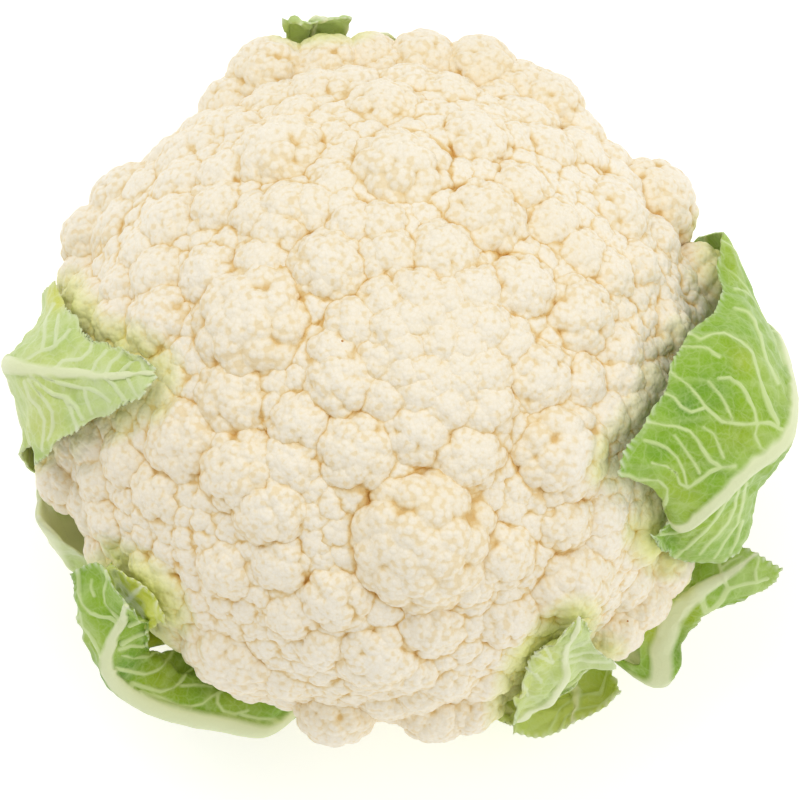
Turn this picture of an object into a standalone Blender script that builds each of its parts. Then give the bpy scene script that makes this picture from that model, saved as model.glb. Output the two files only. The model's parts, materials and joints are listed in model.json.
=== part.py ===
"""A trimmed head of cauliflower: a domed curd of nested florets on its cut stalk, with leaves left round it.

Metres, +Z up. The origin is the middle of the stalk's cut face, on which the head stands.
Florets and leaves were read by eye off a photograph that looks down on the head, so their places
are given as they are seen there and are carried onto the head by seen_from_above and the two
functions after it.
"""

import math
import random

import bmesh
import bpy
import numpy as np
from mathutils import Vector

MM = 0.001

# The head, in millimetres
HEAD_MIDDLE = np.array((0.0, 0.0, 62.0))
DOME_RADIUS = 84.0
DOME_HEIGHT = 66.0
CORE_SHARE = 0.90
CURD_HEART = np.array((0.0, 0.0, 55.0))
STALK_RADIUS = 19.8
STALK_TOP_RADIUS = 25.8
STALK_HEIGHT = 20.0
TOUCHING_GAP = 0.3
UNDERSIDE_SLOPE = 0.45
LOWEST_FLORET_ANGLE = math.radians(112)

# The view in which places were read: pixels to the millimetre at the head's middle, and the eye
PIXELS_PER_MM = 4.0
VIEW_MIDDLE = (384.0, 388.0)
EYE_DISTANCE = 1250.0
EYE_HEIGHT_ANGLE = math.radians(75)
ACROSS = np.array((1.0, 0.0, 0.0))
UPWARDS = np.array((0.0, math.sin(EYE_HEIGHT_ANGLE), math.cos(EYE_HEIGHT_ANGLE)))
TOWARDS_EYE = np.array((0.0, -math.cos(EYE_HEIGHT_ANGLE), math.sin(EYE_HEIGHT_ANGLE)))
EYE = HEAD_MIDDLE + EYE_DISTANCE * TOWARDS_EYE

# Relief of the curd: what is read as a floret's radius is grown a little, because its rim is in shadow
CURD_TRIANGLE_SHARE = 0.12
FLORET_GROWTH = 1.06
SMALLEST_BUMP = 5.0
BUMP_PER_RADIUS = 0.30
BUMP_OUT = 0.25
BRANCHES_MEET = (0.0, 0.0, 35.0)
GOLDEN_ANGLE = math.pi * (3 - math.sqrt(5))

# Gaps between the florets read are filled where nothing comes this near to the dome
DEEPEST_GAP = 4.5
GAP_TRIALS = 1500
SEEN_SIDE_DEPTH = 12.0

# Leaves, in millimetres
BLADE = 0.8
LEAF_GAP = 1.6
YOUNG_LEAF_GAP = 0.7
OVER_YOUNG_LEAF_GAP = 4.2
LEAF_FOOT_GAP = 1.3
LEAF_FOOT_HALF = 3.2
ACROSS_A_ROW = (-1.0, -0.5, 0.0, 0.5, 1.0)
CLEARING_STEPS = 40
CLEARING_STEP = 0.7
LOW_CLEARING = 50.0
HIGH_CLEARING = 75.0

# Each floret as seen: pixel across, pixel down, radius in pixels, and how far it stands out in mm
FLORETS = [
    (268, 72, 32, 0), (232, 103, 25, 0), (273, 108, 27, 0), (299, 113, 14, -1), (241, 131, 14, -1),
    (207, 148, 20, 0), (324, 80, 34, 1), (328, 66, 30, 0), (318, 98, 25, 1), (370, 48, 14, 0),
    (385, 76, 30, 0), (425, 58, 26, 0), (480, 66, 28, 0), (522, 90, 26, 0), (446, 94, 35, 1),
    (498, 103, 21, 0), (545, 105, 32, 0), (570, 137, 28, 0), (600, 175, 32, 0), (655, 203, 38, 0),
    (285, 172, 50, 2), (228, 177, 21, 0), (222, 212, 22, 0), (256, 216, 15, 0), (284, 204, 12, 1),
    (312, 211, 19, 0), (335, 186, 15, -1), (340, 209, 11, -1), (325, 230, 15, -4), (384, 120, 36, 1),
    (401, 188, 52, 2), (475, 150, 33, 1), (515, 142, 14, -1), (541, 160, 30, 0), (519, 195, 26, 0),
    (480, 230, 42, 1), (552, 228, 21, 0), (531, 246, 15, -4), (579, 256, 20, 0), (606, 222, 38, 1),
    (610, 275, 16, 0), (643, 263, 9, 0), (665, 290, 34, 0), (708, 278, 24, 0), (702, 316, 12, 0),
    (130, 205, 36, 0), (188, 190, 26, 0), (175, 229, 28, 1), (90, 235, 24, 0), (145, 252, 17, 0),
    (162, 278, 24, 1), (92, 278, 30, 0), (122, 290, 16, 0), (100, 311, 25, 0), (122, 320, 22, 0),
    (170, 325, 37, 1), (217, 280, 31, 0), (282, 236, 27, 0), (264, 265, 20, 0), (178, 385, 26, -5),
    (130, 458, 22, 0), (100, 440, 25, 0), (60, 477, 22, 0), (103, 477, 20, 0), (118, 515, 26, 0),
    (117, 553, 27, 0), (265, 333, 65, 3), (332, 274, 38, 1), (352, 225, 12, 0), (382, 227, 15, 0),
    (387, 262, 29, 0), (443, 260, 30, 1), (518, 293, 31, 1), (385, 305, 17, 0), (357, 330, 27, 0),
    (392, 331, 12, 0), (382, 360, 17, 0), (344, 384, 32, 1), (333, 354, 10, 0), (294, 390, 14, -5),
    (389, 399, 17, 0), (360, 452, 41, 1), (303, 423, 25, 0), (293, 465, 27, 0), (245, 400, 45, 0),
    (200, 440, 46, 1), (246, 470, 38, 2), (272, 508, 28, 2), (170, 490, 30, 0), (323, 501, 24, -5),
    (360, 500, 14, -5), (418, 433, 28, 1), (465, 455, 33, 1), (486, 408, 21, 1), (550, 452, 52, 3),
    (535, 380, 32, 1), (509, 344, 19, 0), (568, 322, 42, 1), (581, 384, 18, 0), (616, 351, 20, 0),
    (661, 334, 26, 0), (619, 379, 20, 0), (607, 418, 18, 0), (633, 408, 12, 0), (649, 386, 14, 0),
    (620, 450, 20, -5), (636, 503, 30, -1), (603, 517, 18, 0), (564, 520, 22, 0), (499, 480, 12, -5),
    (505, 505, 20, -5), (440, 345, 26, 1), (419, 296, 17, 1), (447, 302, 14, 1), (475, 293, 19, 1),
    (412, 319, 11, 1), (433, 316, 10, 1), (465, 322, 12, 1), (487, 329, 14, 1), (394, 331, 12, 1),
    (406, 350, 11, 1), (406, 373, 12, 1), (425, 374, 7, 1), (421, 394, 15, 1), (439, 384, 10, 1),
    (463, 384, 11, 1), (464, 370, 9, 1), (468, 343, 9, 1), (486, 373, 16, 1), (449, 406, 15, 1),
    (420, 530, 70, 6), (176, 565, 38, 0), (232, 565, 25, 0), (285, 560, 25, 0), (337, 591, 31, 1),
    (294, 612, 18, 0), (324, 645, 17, 0), (245, 630, 58, 3), (378, 640, 43, 2), (378, 587, 15, -5),
    (430, 620, 32, 0), (468, 578, 20, 0), (500, 553, 27, 1), (505, 610, 30, 0), (560, 570, 45, 2),
    (560, 520, 25, 0), (600, 535, 20, 0), (454, 644, 22, -4), (413, 673, 12, 0), (447, 676, 20, 0),
    (420, 695, 14, 0), (484, 676, 20, 0), (435, 708, 30, 0), (470, 705, 25, 0), (335, 715, 28, 0),
    (329, 690, 26, 0), (390, 695, 20, 0), (286, 676, 18, 0), (250, 676, 22, 0), (626, 580, 22, 0),
    (637, 537, 22, 0), (665, 568, 24, 0), (648, 605, 18, 0), (604, 612, 27, 0), (623, 637, 15, 0),
]


def seen_from_above(x, y):
    """The direction from the eye to what is seen at pixel x, y."""
    aim = (x - VIEW_MIDDLE[0]) * ACROSS + (VIEW_MIDDLE[1] - y) * UPWARDS
    aim = aim / PIXELS_PER_MM + HEAD_MIDDLE - EYE
    return aim / np.linalg.norm(aim)


def on_dome(x, y, lift):
    """The point seen at x, y on the dome grown by lift mm, or where that line of sight passes nearest."""
    aim = seen_from_above(x, y)
    axes = np.array((DOME_RADIUS, DOME_RADIUS, DOME_HEIGHT)) + lift
    start = (EYE - HEAD_MIDDLE) / axes
    step = aim / axes
    middle = -start.dot(step) / step.dot(step)
    depth = middle**2 - (start.dot(start) - 1) / step.dot(step)
    return EYE + (middle - math.sqrt(max(depth, 0.0))) * aim


def at_height(x, y, height):
    """The point seen at x, y that lies height mm above the table."""
    aim = seen_from_above(x, y)
    return EYE + (height - EYE[2]) / aim[2] * aim


def round_stalk(angle, radius, height):
    """A point by its compass angle round the stalk, in degrees, its distance from the axis and its height."""
    turn = math.radians(angle)
    return np.array((radius * math.cos(turn), radius * math.sin(turn), height))


def sphere_reach(directions, middle, radius):
    """How far from the curd's heart each direction runs before it leaves the sphere, or 0 where it misses."""
    offset = middle - CURD_HEART
    along = directions @ offset
    inside = radius**2 - offset.dot(offset) + along**2
    return np.where((inside > 0) & (along > 0), along + np.sqrt(np.maximum(inside, 0)), 0.0)


def dome_reach(directions, share):
    """How far from the curd's heart the dome, scaled by share, lies in each direction."""
    axes = np.array((DOME_RADIUS, DOME_RADIUS, DOME_HEIGHT)) * share
    start = (CURD_HEART - HEAD_MIDDLE) / axes
    steps = directions / axes
    square = (steps**2).sum(axis=1)
    half = steps @ start
    return (-half + np.sqrt(half**2 - square * (start.dot(start) - 1))) / square


def underside_reach(directions):
    """How far from the curd's heart its underside lies: flat over the stalk, ribbed branches round it."""
    flat_drop = CURD_HEART[2] - STALK_HEIGHT - TOUCHING_GAP
    sideways = np.hypot(directions[:, 0], directions[:, 1])
    branches = 1 + 0.02 * np.cos(9 * np.arctan2(directions[:, 1], directions[:, 0]))
    cone_drop = flat_drop + UNDERSIDE_SLOPE * STALK_TOP_RADIUS
    to_flat = flat_drop / np.maximum(-directions[:, 2], 1e-6)
    to_cone = cone_drop / np.maximum(UNDERSIDE_SLOPE * sideways * branches - directions[:, 2], 1e-6)
    return np.minimum(to_flat, to_cone)


def spiral_cap(axis, count, widest):
    """Unit vectors from a golden-angle spiral round axis, out to the angle widest."""
    side = np.cross(axis, (0.31, 0.52, 0.79))
    side /= np.linalg.norm(side)
    other = np.cross(axis, side)
    steps = np.arange(count)
    polar = widest * ((steps + 0.3) / count) ** 0.62
    turn = steps * GOLDEN_ANGLE
    ring = np.outer(np.cos(turn), side) + np.outer(np.sin(turn), other)
    return np.outer(np.cos(polar), axis) + np.sin(polar)[:, None] * ring


def read_florets():
    """Each floret that the view shows, as the middle and radius of its ball."""
    balls = []
    for x, y, pixels, stands_out in FLORETS:
        radius = pixels / PIXELS_PER_MM * FLORET_GROWTH
        balls.append((on_dome(x, y, stands_out - radius), radius))
    return balls


def farthest_ball(direction, balls):
    """How far from the curd's heart the outermost ball is left, in one direction."""
    offsets = np.array([middle for middle, radius in balls]) - CURD_HEART
    radii = np.array([radius for middle, radius in balls])
    along = offsets @ direction
    inside = radii**2 - (offsets**2).sum(axis=1) + along**2
    hit = (inside > 0) & (along > 0)
    return (along[hit] + np.sqrt(inside[hit])).max(initial=0.0)


def fill_gaps(balls):
    """Adds a floret wherever none reaches the dome: small ones between those seen, larger at the back."""
    draw = random.Random(11)
    for step in range(GAP_TRIALS):
        rise = 1 - (step + 0.5) / GAP_TRIALS * (1 - math.cos(LOWEST_FLORET_ANGLE))
        level = math.sqrt(1 - rise**2)
        turn = step * GOLDEN_ANGLE
        direction = np.array([(level * math.cos(turn), level * math.sin(turn), rise)])
        surface = dome_reach(direction, 1.0)[0]
        if farthest_ball(direction[0], balls) > surface - DEEPEST_GAP:
            continue
        point = CURD_HEART + surface * direction[0]
        if (point - HEAD_MIDDLE).dot(TOWARDS_EYE) > SEEN_SIDE_DEPTH:
            radius, sunk = draw.uniform(5.0, 6.5), 2.5
        else:
            radius, sunk = draw.uniform(8.5, 13.5), 0.0
        outward = (point - HEAD_MIDDLE) / (DOME_RADIUS, DOME_RADIUS, DOME_HEIGHT)
        outward /= np.linalg.norm(outward)
        balls.append((point - outward * (radius + sunk), radius))
    return balls


def with_bumps(balls):
    """Each floret's ball, a little smaller, and the sub-florets that stand out of it in a spiral."""
    shapes = []
    for middle, radius in balls:
        bump = max(SMALLEST_BUMP, BUMP_PER_RADIUS * radius)
        if radius < 1.5 * bump:
            shapes.append((middle, radius))
            continue
        axis = middle - BRANCHES_MEET
        axis /= np.linalg.norm(axis)
        shapes.append((middle, radius - 0.45 * bump))
        count = round(2.1 * (radius / bump) ** 2)
        for out in spiral_cap(axis, count, math.radians(100)):
            shapes.append((middle + out * (radius - (1 - BUMP_OUT) * bump), bump))
    return shapes


def curd_reach(directions, shapes):
    """How far the curd's surface lies from its heart in each direction."""
    reach = dome_reach(directions, CORE_SHARE)
    for middle, radius in shapes:
        offset = middle - CURD_HEART
        distance = np.linalg.norm(offset)
        least = math.sqrt(max(0.0, 1 - (radius / distance) ** 2))
        near = np.nonzero(directions @ (offset / distance) > least)[0]
        reach[near] = np.maximum(reach[near], sphere_reach(directions[near], middle, radius))
    return np.minimum(reach, underside_reach(directions))


def reach_round(points, shapes):
    """How far out from the curd's heart its surface comes within a few degrees of each point."""
    outward = points - CURD_HEART
    outward /= np.linalg.norm(outward, axis=1)[:, None]
    side = np.cross(outward, (0.0, 0.6, 0.8))
    side /= np.linalg.norm(side, axis=1)[:, None]
    other = np.cross(outward, side)
    probes = [outward]
    for spread in (0.035, 0.07):
        for turn in np.arange(8) * math.pi / 4:
            probes.append(outward + spread * (math.cos(turn) * side + math.sin(turn) * other))
    probes = np.array(probes)
    probes /= np.linalg.norm(probes, axis=2)[:, :, None]
    return curd_reach(probes.reshape(-1, 3), shapes).reshape(len(probes), -1).max(axis=0)


def clear_of_curd(points, shapes, gap):
    """Moves points until they are gap clear of the curd: low ones outwards, high ones more towards the eye."""
    points = points.copy()
    near = np.arange(len(points))
    for step in range(CLEARING_STEPS):
        outward = points[near] - CURD_HEART
        distance = np.linalg.norm(outward, axis=1)
        too_near = distance < reach_round(points[near], shapes) + gap[near]
        near = near[too_near]
        if not len(near):
            break
        high = np.clip((points[near, 2] - LOW_CLEARING) / (HIGH_CLEARING - LOW_CLEARING), 0, 1)
        way = outward[too_near] / distance[too_near, None] + 2 * high[:, None] * TOWARDS_EYE
        points[near] += CLEARING_STEP * way / np.linalg.norm(way, axis=1)[:, None]
    return points


def smooth_through(points, samples):
    """A Catmull-Rom curve through points, or through rows of points, read at evenly spaced samples."""
    points = np.asarray(points, float)
    last = len(points) - 1
    before = 2 * points[0] - points[1]
    after = 2 * points[-1] - points[-2]
    padded = np.concatenate(([before], points, [after]))
    place = np.linspace(0, last, samples)
    knot = np.minimum(place.astype(int), last - 1)
    t = (place - knot).reshape((-1,) + (1,) * (points.ndim - 1))
    p0, p1, p2, p3 = (padded[knot + shift] for shift in range(4))
    bend = 2 * p0 - 5 * p1 + 4 * p2 - p3
    return p1 + 0.5 * t * (p2 - p0 + t * (bend + t * (3 * (p1 - p2) + p3 - p0)))


def new_material(name, colour, roughness):
    material = bpy.data.materials.new(name)
    material.use_nodes = True
    shader = material.node_tree.nodes["Principled BSDF"]
    shader.inputs["Base Color"].default_value = (*colour, 1.0)
    shader.inputs["Roughness"].default_value = roughness
    shader.inputs["Metallic"].default_value = 0.0
    material.diffuse_color = (*colour, 1.0)
    return material


def new_object(name, mesh, material, collection):
    part = bpy.data.objects.new(name, mesh)
    mesh.materials.append(material)
    mesh.shade_smooth()
    collection.objects.link(part)
    return part


def make_curd(shapes, material, collection):
    """A fine sphere whose points are moved out to the florets, then thinned to what its relief needs."""
    form = bmesh.new()
    bmesh.ops.create_icosphere(form, subdivisions=7, radius=1.0)
    directions = np.array([vertex.co for vertex in form.verts])
    directions /= np.linalg.norm(directions, axis=1)[:, None]
    points = CURD_HEART + directions * curd_reach(directions, shapes)[:, None]
    for vertex, point in zip(form.verts, points * MM):
        vertex.co = point
    mesh = bpy.data.meshes.new("curd")
    form.to_mesh(mesh)
    form.free()
    curd = new_object("curd", mesh, material, collection)
    thin = curd.modifiers.new("thin", "DECIMATE")
    thin.ratio = CURD_TRIANGLE_SHARE
    return curd


def stalk_radius(turn, height):
    """The stalk's radius at a compass angle in radians and a height: it widens upwards and has low ribs."""
    share = height / STALK_HEIGHT
    ribs = 0.8 * math.cos(5 * turn) + 0.5 * math.cos(8 * turn + 1)
    widening = (STALK_TOP_RADIUS - STALK_RADIUS) * share**1.6
    return STALK_RADIUS + widening + ribs * (0.4 + 0.6 * math.sin(math.pi * share))


def make_stalk(material, collection):
    """The cut stalk: a short drum that widens upwards, with low ribs where branches and leaves leave it."""
    form = bmesh.new()
    sides = 45
    bmesh.ops.create_cone(
        form, cap_ends=True, segments=sides, radius1=1.0, radius2=1.0, depth=STALK_HEIGHT * MM
    )
    upright = [edge for edge in form.edges if abs(edge.verts[0].co.z - edge.verts[1].co.z) > MM]
    bmesh.ops.subdivide_edges(form, edges=upright, cuts=4)
    for vertex in form.verts:
        height = vertex.co.z / (STALK_HEIGHT * MM) + 0.5
        turn = math.atan2(vertex.co.y, vertex.co.x)
        radius = stalk_radius(turn, height * STALK_HEIGHT)
        vertex.co.x = radius * math.cos(turn) * MM
        vertex.co.y = radius * math.sin(turn) * MM
        vertex.co.z = height * STALK_HEIGHT * MM
    mesh = bpy.data.meshes.new("stalk")
    form.to_mesh(mesh)
    form.free()
    return new_object("stalk", mesh, material, collection)


def under_curd(tier):
    """How high a leaf that leaves the stalk at height tier has risen most of the way out under the curd."""
    return 20 + 0.55 * tier


def base_rows(angle, tier, half_width):
    """The hidden start of a leaf: from the stalk's side, out under the curd, in three rows of five points.

    tier is the height in mm at which it leaves the stalk. A negative half_width runs the rows the other way.
    Each row is given by how far out it lies, its height and its share of the half width.
    """
    start = stalk_radius(math.radians(angle), tier)
    rows = []
    for out, height, spread in ((0, tier, 0.5), (15, 4 + 0.9 * tier, 0.7), (37, under_curd(tier), 1.1)):
        row = []
        for share in ACROSS_A_ROW:
            turn = angle + math.degrees(share * half_width * spread / (start + out))
            radius = start + out
            if out == 0:
                radius = stalk_radius(math.radians(turn), tier + LEAF_FOOT_HALF) + LEAF_FOOT_GAP
            row.append(round_stalk(turn, radius, height + 0.04 * out * share**2))
        rows.append(row)
    return rows


def flank_row(radius, places):
    """A row against the head's side, of (compass angle in degrees, height)."""
    return [round_stalk(turn, radius, height) for turn, height in places]


def seen_rows(rows):
    """Rows of (pixel across, pixel down, height above the table) as points."""
    return [[at_height(*place) for place in row] for row in rows]


def make_leaf(name, rows, grid, rib, teeth, tip_gap, shapes, material, collection):
    """A leaf: a grid laid through rows of points from base to tip, waved and toothed at its margin.

    Each row runs from one margin over the midrib to the other. rib is the midrib's thickness, and the
    blade thins from it to BLADE at the margins. tip_gap is how far its tip stays clear of the curd.
    """
    lengthways, sideways = grid
    net = smooth_through(rows, lengthways)
    net = smooth_through(net.transpose(1, 0, 2), sideways).transpose(1, 0, 2)
    along = np.linspace(0, 1, lengthways)[:, None]
    aside = np.linspace(-1, 1, sideways)[None, :]
    margin = np.abs(aside) ** 6 * np.clip((along - 0.35) * 4, 0, 1) * np.clip((1 - along) * 10, 0, 1)
    outward = net - CURD_HEART
    outward /= np.linalg.norm(outward, axis=2)[:, :, None]
    spread = np.gradient(net, axis=1)
    spread /= np.linalg.norm(spread, axis=2)[:, :, None]
    notch = np.where(np.arange(lengthways) % 2 == 0, 1.0, -0.2)[:, None]
    net = net + spread * (np.sign(aside) * margin * notch * teeth)[:, :, None]
    wave = np.sin(along * 31 + aside * 1.3) * margin * teeth
    net = net + outward * wave[:, :, None]
    spread_of_rib = 0.34 + 0.9 * np.clip(1 - along * 2.2, 0, 1)
    swell = np.clip(1 - (np.abs(aside) / spread_of_rib) ** 2, 0, 1) * (1 - 0.75 * along)
    walls = BLADE + (rib - BLADE) * swell
    gap = walls / 2 + LEAF_GAP + (tip_gap - LEAF_GAP) * along**3
    net = clear_of_curd(net.reshape(-1, 3), shapes, gap.ravel()).reshape(net.shape)

    form = bmesh.new()
    bmesh.ops.create_grid(form, x_segments=sideways - 1, y_segments=lengthways - 1, size=1.0)
    mesh = bpy.data.meshes.new(name)
    form.to_mesh(mesh)
    form.free()
    leaf = new_object(name, mesh, material, collection)
    thickness = leaf.vertex_groups.new(name="thickness")
    for vertex in mesh.vertices:
        row = round((vertex.co.y + 1) / 2 * (lengthways - 1))
        column = round((vertex.co.x + 1) / 2 * (sideways - 1))
        vertex.co = net[row, column] * MM
        thickness.add([vertex.index], walls[row, column] / rib, "REPLACE")
    mesh.update()
    heart = Vector(CURD_HEART * MM)
    if sum(face.normal.dot(face.center - heart) for face in mesh.polygons) < 0:
        mesh.flip_normals()
    split = leaf.modifiers.new("split", "TRIANGULATE")
    split.quad_method = "FIXED"
    wall = leaf.modifiers.new("wall", "SOLIDIFY")
    wall.thickness = rib * MM
    wall.offset = 0.0
    wall.vertex_group = thickness.name
    wall.thickness_vertex_group = 0.0
    return leaf


def trimmed_base(angle, tier, reach, top, half_width):
    """Rows for a leaf that was cut short: it passes out under the curd and ends at a straight cut."""
    rows = base_rows(angle, tier, half_width)
    below = (under_curd(tier) + top) / 2
    for radius, height, spread in ((reach - 8, below, 1.2), (reach, top, 1.35)):
        row = []
        for share in ACROSS_A_ROW:
            turn = angle + math.degrees(share * half_width * spread / radius)
            row.append(round_stalk(turn, radius - 2 * share**2, height + 4 * share**2))
        rows.append(row)
    return rows


def leaf_right_rows():
    """The big leaf on the right: it rises beside the curd, and its outer half folds over the curd."""
    return base_rows(8, 13, -9) + [
        flank_row(88, ((28, 46), (20, 43), (12, 41), (5, 41), (-1, 43)))
    ] + seen_rows([
        [(703, 240, 66), (735, 275, 66), (768, 335, 60), (775, 362, 55), (770, 392, 51)],
        [(712, 262, 80), (748, 300, 82), (785, 370, 78), (790, 395, 68), (775, 420, 56)],
        [(722, 300, 92), (752, 330, 94), (791, 408, 90), (790, 440, 76), (768, 470, 60)],
        [(684, 340, 104), (730, 370, 106), (783, 440, 98), (772, 468, 82), (748, 500, 62)],
        [(660, 395, 110), (706, 418, 108), (745, 472, 100), (740, 500, 86), (745, 545, 66)],
        [(640, 435, 112), (672, 455, 108), (712, 505, 96), (712, 530, 84), (708, 563, 68)],
        [(621, 468, 110), (648, 478, 106), (684, 526, 90), (680, 540, 82), (668, 553, 72)],
        [(630, 478, 106), (655, 490, 100), (666, 515, 88), (650, 530, 82), (632, 525, 80)],
    ])


def leaf_left_rows():
    """The pale leaf on the left: its midrib bends sharply at the side and its tip lies over the curd."""
    return base_rows(180, 13, 9) + [
        flank_row(88, ((164, 46), (171, 43), (179, 42), (186, 43), (192, 47)))
    ] + seen_rows([
        [(66, 298, 66), (30, 335, 70), (11, 368, 72), (20, 405, 70), (32, 450, 64)],
        [(62, 286, 80), (34, 338, 86), (12, 366, 88), (24, 398, 86), (30, 445, 78)],
        [(68, 313, 92), (52, 335, 94), (38, 371, 95), (42, 410, 93), (38, 464, 84)],
        [(94, 339, 100), (82, 350, 101), (75, 374, 102), (72, 398, 100), (66, 438, 95)],
        [(127, 351, 107), (120, 358, 108), (110, 377, 108), (108, 392, 107), (108, 414, 104)],
        [(150, 361, 115), (154, 366, 115), (156, 373, 115), (154, 381, 115), (145, 396, 113)],
    ])


def leaf_base_left_rows():
    """A trimmed leaf at the lower left: only its thick pale base shows past the curd."""
    return base_rows(206, 5, 8) + [
        flank_row(86, ((197, 38), (200, 36), (203, 34), (207, 34), (211, 36)))
    ] + seen_rows([
        [(45, 472, 50), (41, 492, 52), (38, 517, 54), (62, 539, 50), (94, 562, 44)],
    ])


def leaf_front_left_rows():
    """The large leaf that cups the lower left: its midrib sweeps round the head and turns in at the tip."""
    return base_rows(256, 12, -7) + seen_rows([
        [(288, 722, 26), (284, 724, 29), (276, 722, 33), (284, 708, 36), (298, 694, 37)],
        [(234, 722, 26), (225, 729, 33), (221, 722, 39), (240, 700, 40), (262, 680, 38)],
        [(170, 712, 32), (160, 716, 40), (165, 710, 45), (196, 684, 42), (228, 662, 36)],
        [(125, 697, 42), (119, 695, 48), (126, 691, 52), (164, 666, 47), (205, 642, 37)],
        [(94, 657, 54), (98, 665, 58), (108, 668, 61), (142, 656, 55), (184, 636, 40)],
        [(81, 625, 64), (96, 632, 67), (111, 643, 67), (136, 640, 64), (168, 632, 50)],
        [(76, 598, 70), (97, 606, 73), (122, 622, 73), (140, 619, 72), (158, 620, 64)],
        [(69, 575, 74), (104, 562, 78), (134, 600, 78), (140, 604, 77), (146, 608, 75)],
    ])


def leaf_young_rows():
    """The small yellow-green leaf between the large one and the curd."""
    return base_rows(226, 12, 7) + [
        flank_row(86, ((213, 44), (217, 43), (220, 42), (223, 43), (226, 44)))
    ] + seen_rows([
        [(112, 574, 58), (124, 584, 60), (138, 594, 60), (150, 604, 58), (160, 614, 55)],
        [(112, 562, 72), (128, 570, 80), (148, 582, 83), (164, 596, 80), (176, 612, 72)],
    ])


def leaf_front_inner_rows():
    """The pale inner leaf at the lower right, with its pointed tip against the curd."""
    return base_rows(284, 13, 7) + seen_rows([
        [(492, 716, 40), (500, 717, 38), (510, 716, 36), (520, 714, 36), (530, 710, 38)],
        [(503, 692, 52), (515, 698, 49), (530, 699, 46), (540, 697, 46), (552, 690, 48)],
        [(508, 675, 60), (528, 682, 57), (547, 681, 54), (558, 677, 54), (572, 668, 56)],
        [(520, 657, 68), (540, 662, 66), (559, 662, 63), (580, 663, 63), (618, 668, 62)],
        [(538, 637, 75), (550, 642, 75), (561, 642, 73), (576, 642, 73), (598, 650, 71)],
        [(556, 616, 82), (562, 612, 83), (569, 607, 84), (577, 614, 83), (585, 626, 80)],
    ])


def leaf_front_outer_rows():
    """The bright outer leaf at the lower right, torn off in a ragged line."""
    return base_rows(299, 4, 8) + seen_rows([
        [(530, 690, 20), (548, 690, 17), (568, 682, 16), (586, 674, 17), (600, 662, 19)],
        [(516, 712, 26), (545, 712, 22), (576, 702, 20), (600, 692, 20), (614, 674, 22)],
        [(514, 732, 32), (542, 737, 27), (572, 723, 25), (598, 712, 26), (622, 688, 27)],
    ])


def leaf_right_low_rows():
    """The ruffled leaf at the lower right, on its thick pale petiole."""
    return base_rows(317, 9, -8) + seen_rows([
        [(670, 662, 32), (662, 674, 30), (651, 680, 28), (641, 677, 29), (630, 664, 31)],
        [(682, 640, 39), (675, 648, 37), (662, 650, 36), (649, 644, 36), (637, 634, 37)],
        [(698, 622, 44), (688, 622, 44), (674, 616, 44), (659, 606, 43), (644, 594, 42)],
        [(714, 612, 46), (706, 606, 49), (694, 596, 51), (679, 584, 50), (666, 572, 48)],
        [(738, 600, 46), (727, 595, 49), (711, 584, 52), (698, 568, 51), (688, 554, 49)],
        [(769, 589, 46), (753, 583, 50), (732, 572, 53), (716, 558, 52), (704, 546, 50)],
        [(783, 570, 48), (772, 563, 51), (756, 553, 53), (740, 546, 53), (725, 540, 52)],
    ])


def leaf_back_rows():
    """The leaf behind the head, whose tip shows at the top left."""
    return base_rows(106, 12, 9) + [
        flank_row(88, ((95, 46), (101, 43), (107, 42), (113, 43), (119, 46)))
    ] + seen_rows([
        [(350, 46, 66), (330, 44, 66), (310, 46, 66), (292, 50, 65), (277, 57, 62)],
        [(352, 33, 76), (345, 22, 80), (328, 30, 80), (305, 36, 76), (290, 46, 70)],
    ])


def leaf_back_small_rows():
    """The pale leaf behind the head at the top, cut short."""
    return base_rows(78, 4, 6) + [
        flank_row(88, ((79, 42), (82, 40), (85, 39), (88, 40), (91, 42)))
    ] + seen_rows([
        [(398, 41, 64), (391, 35, 67), (384, 33, 68), (377, 35, 67), (371, 41, 64)],
    ])


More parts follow.
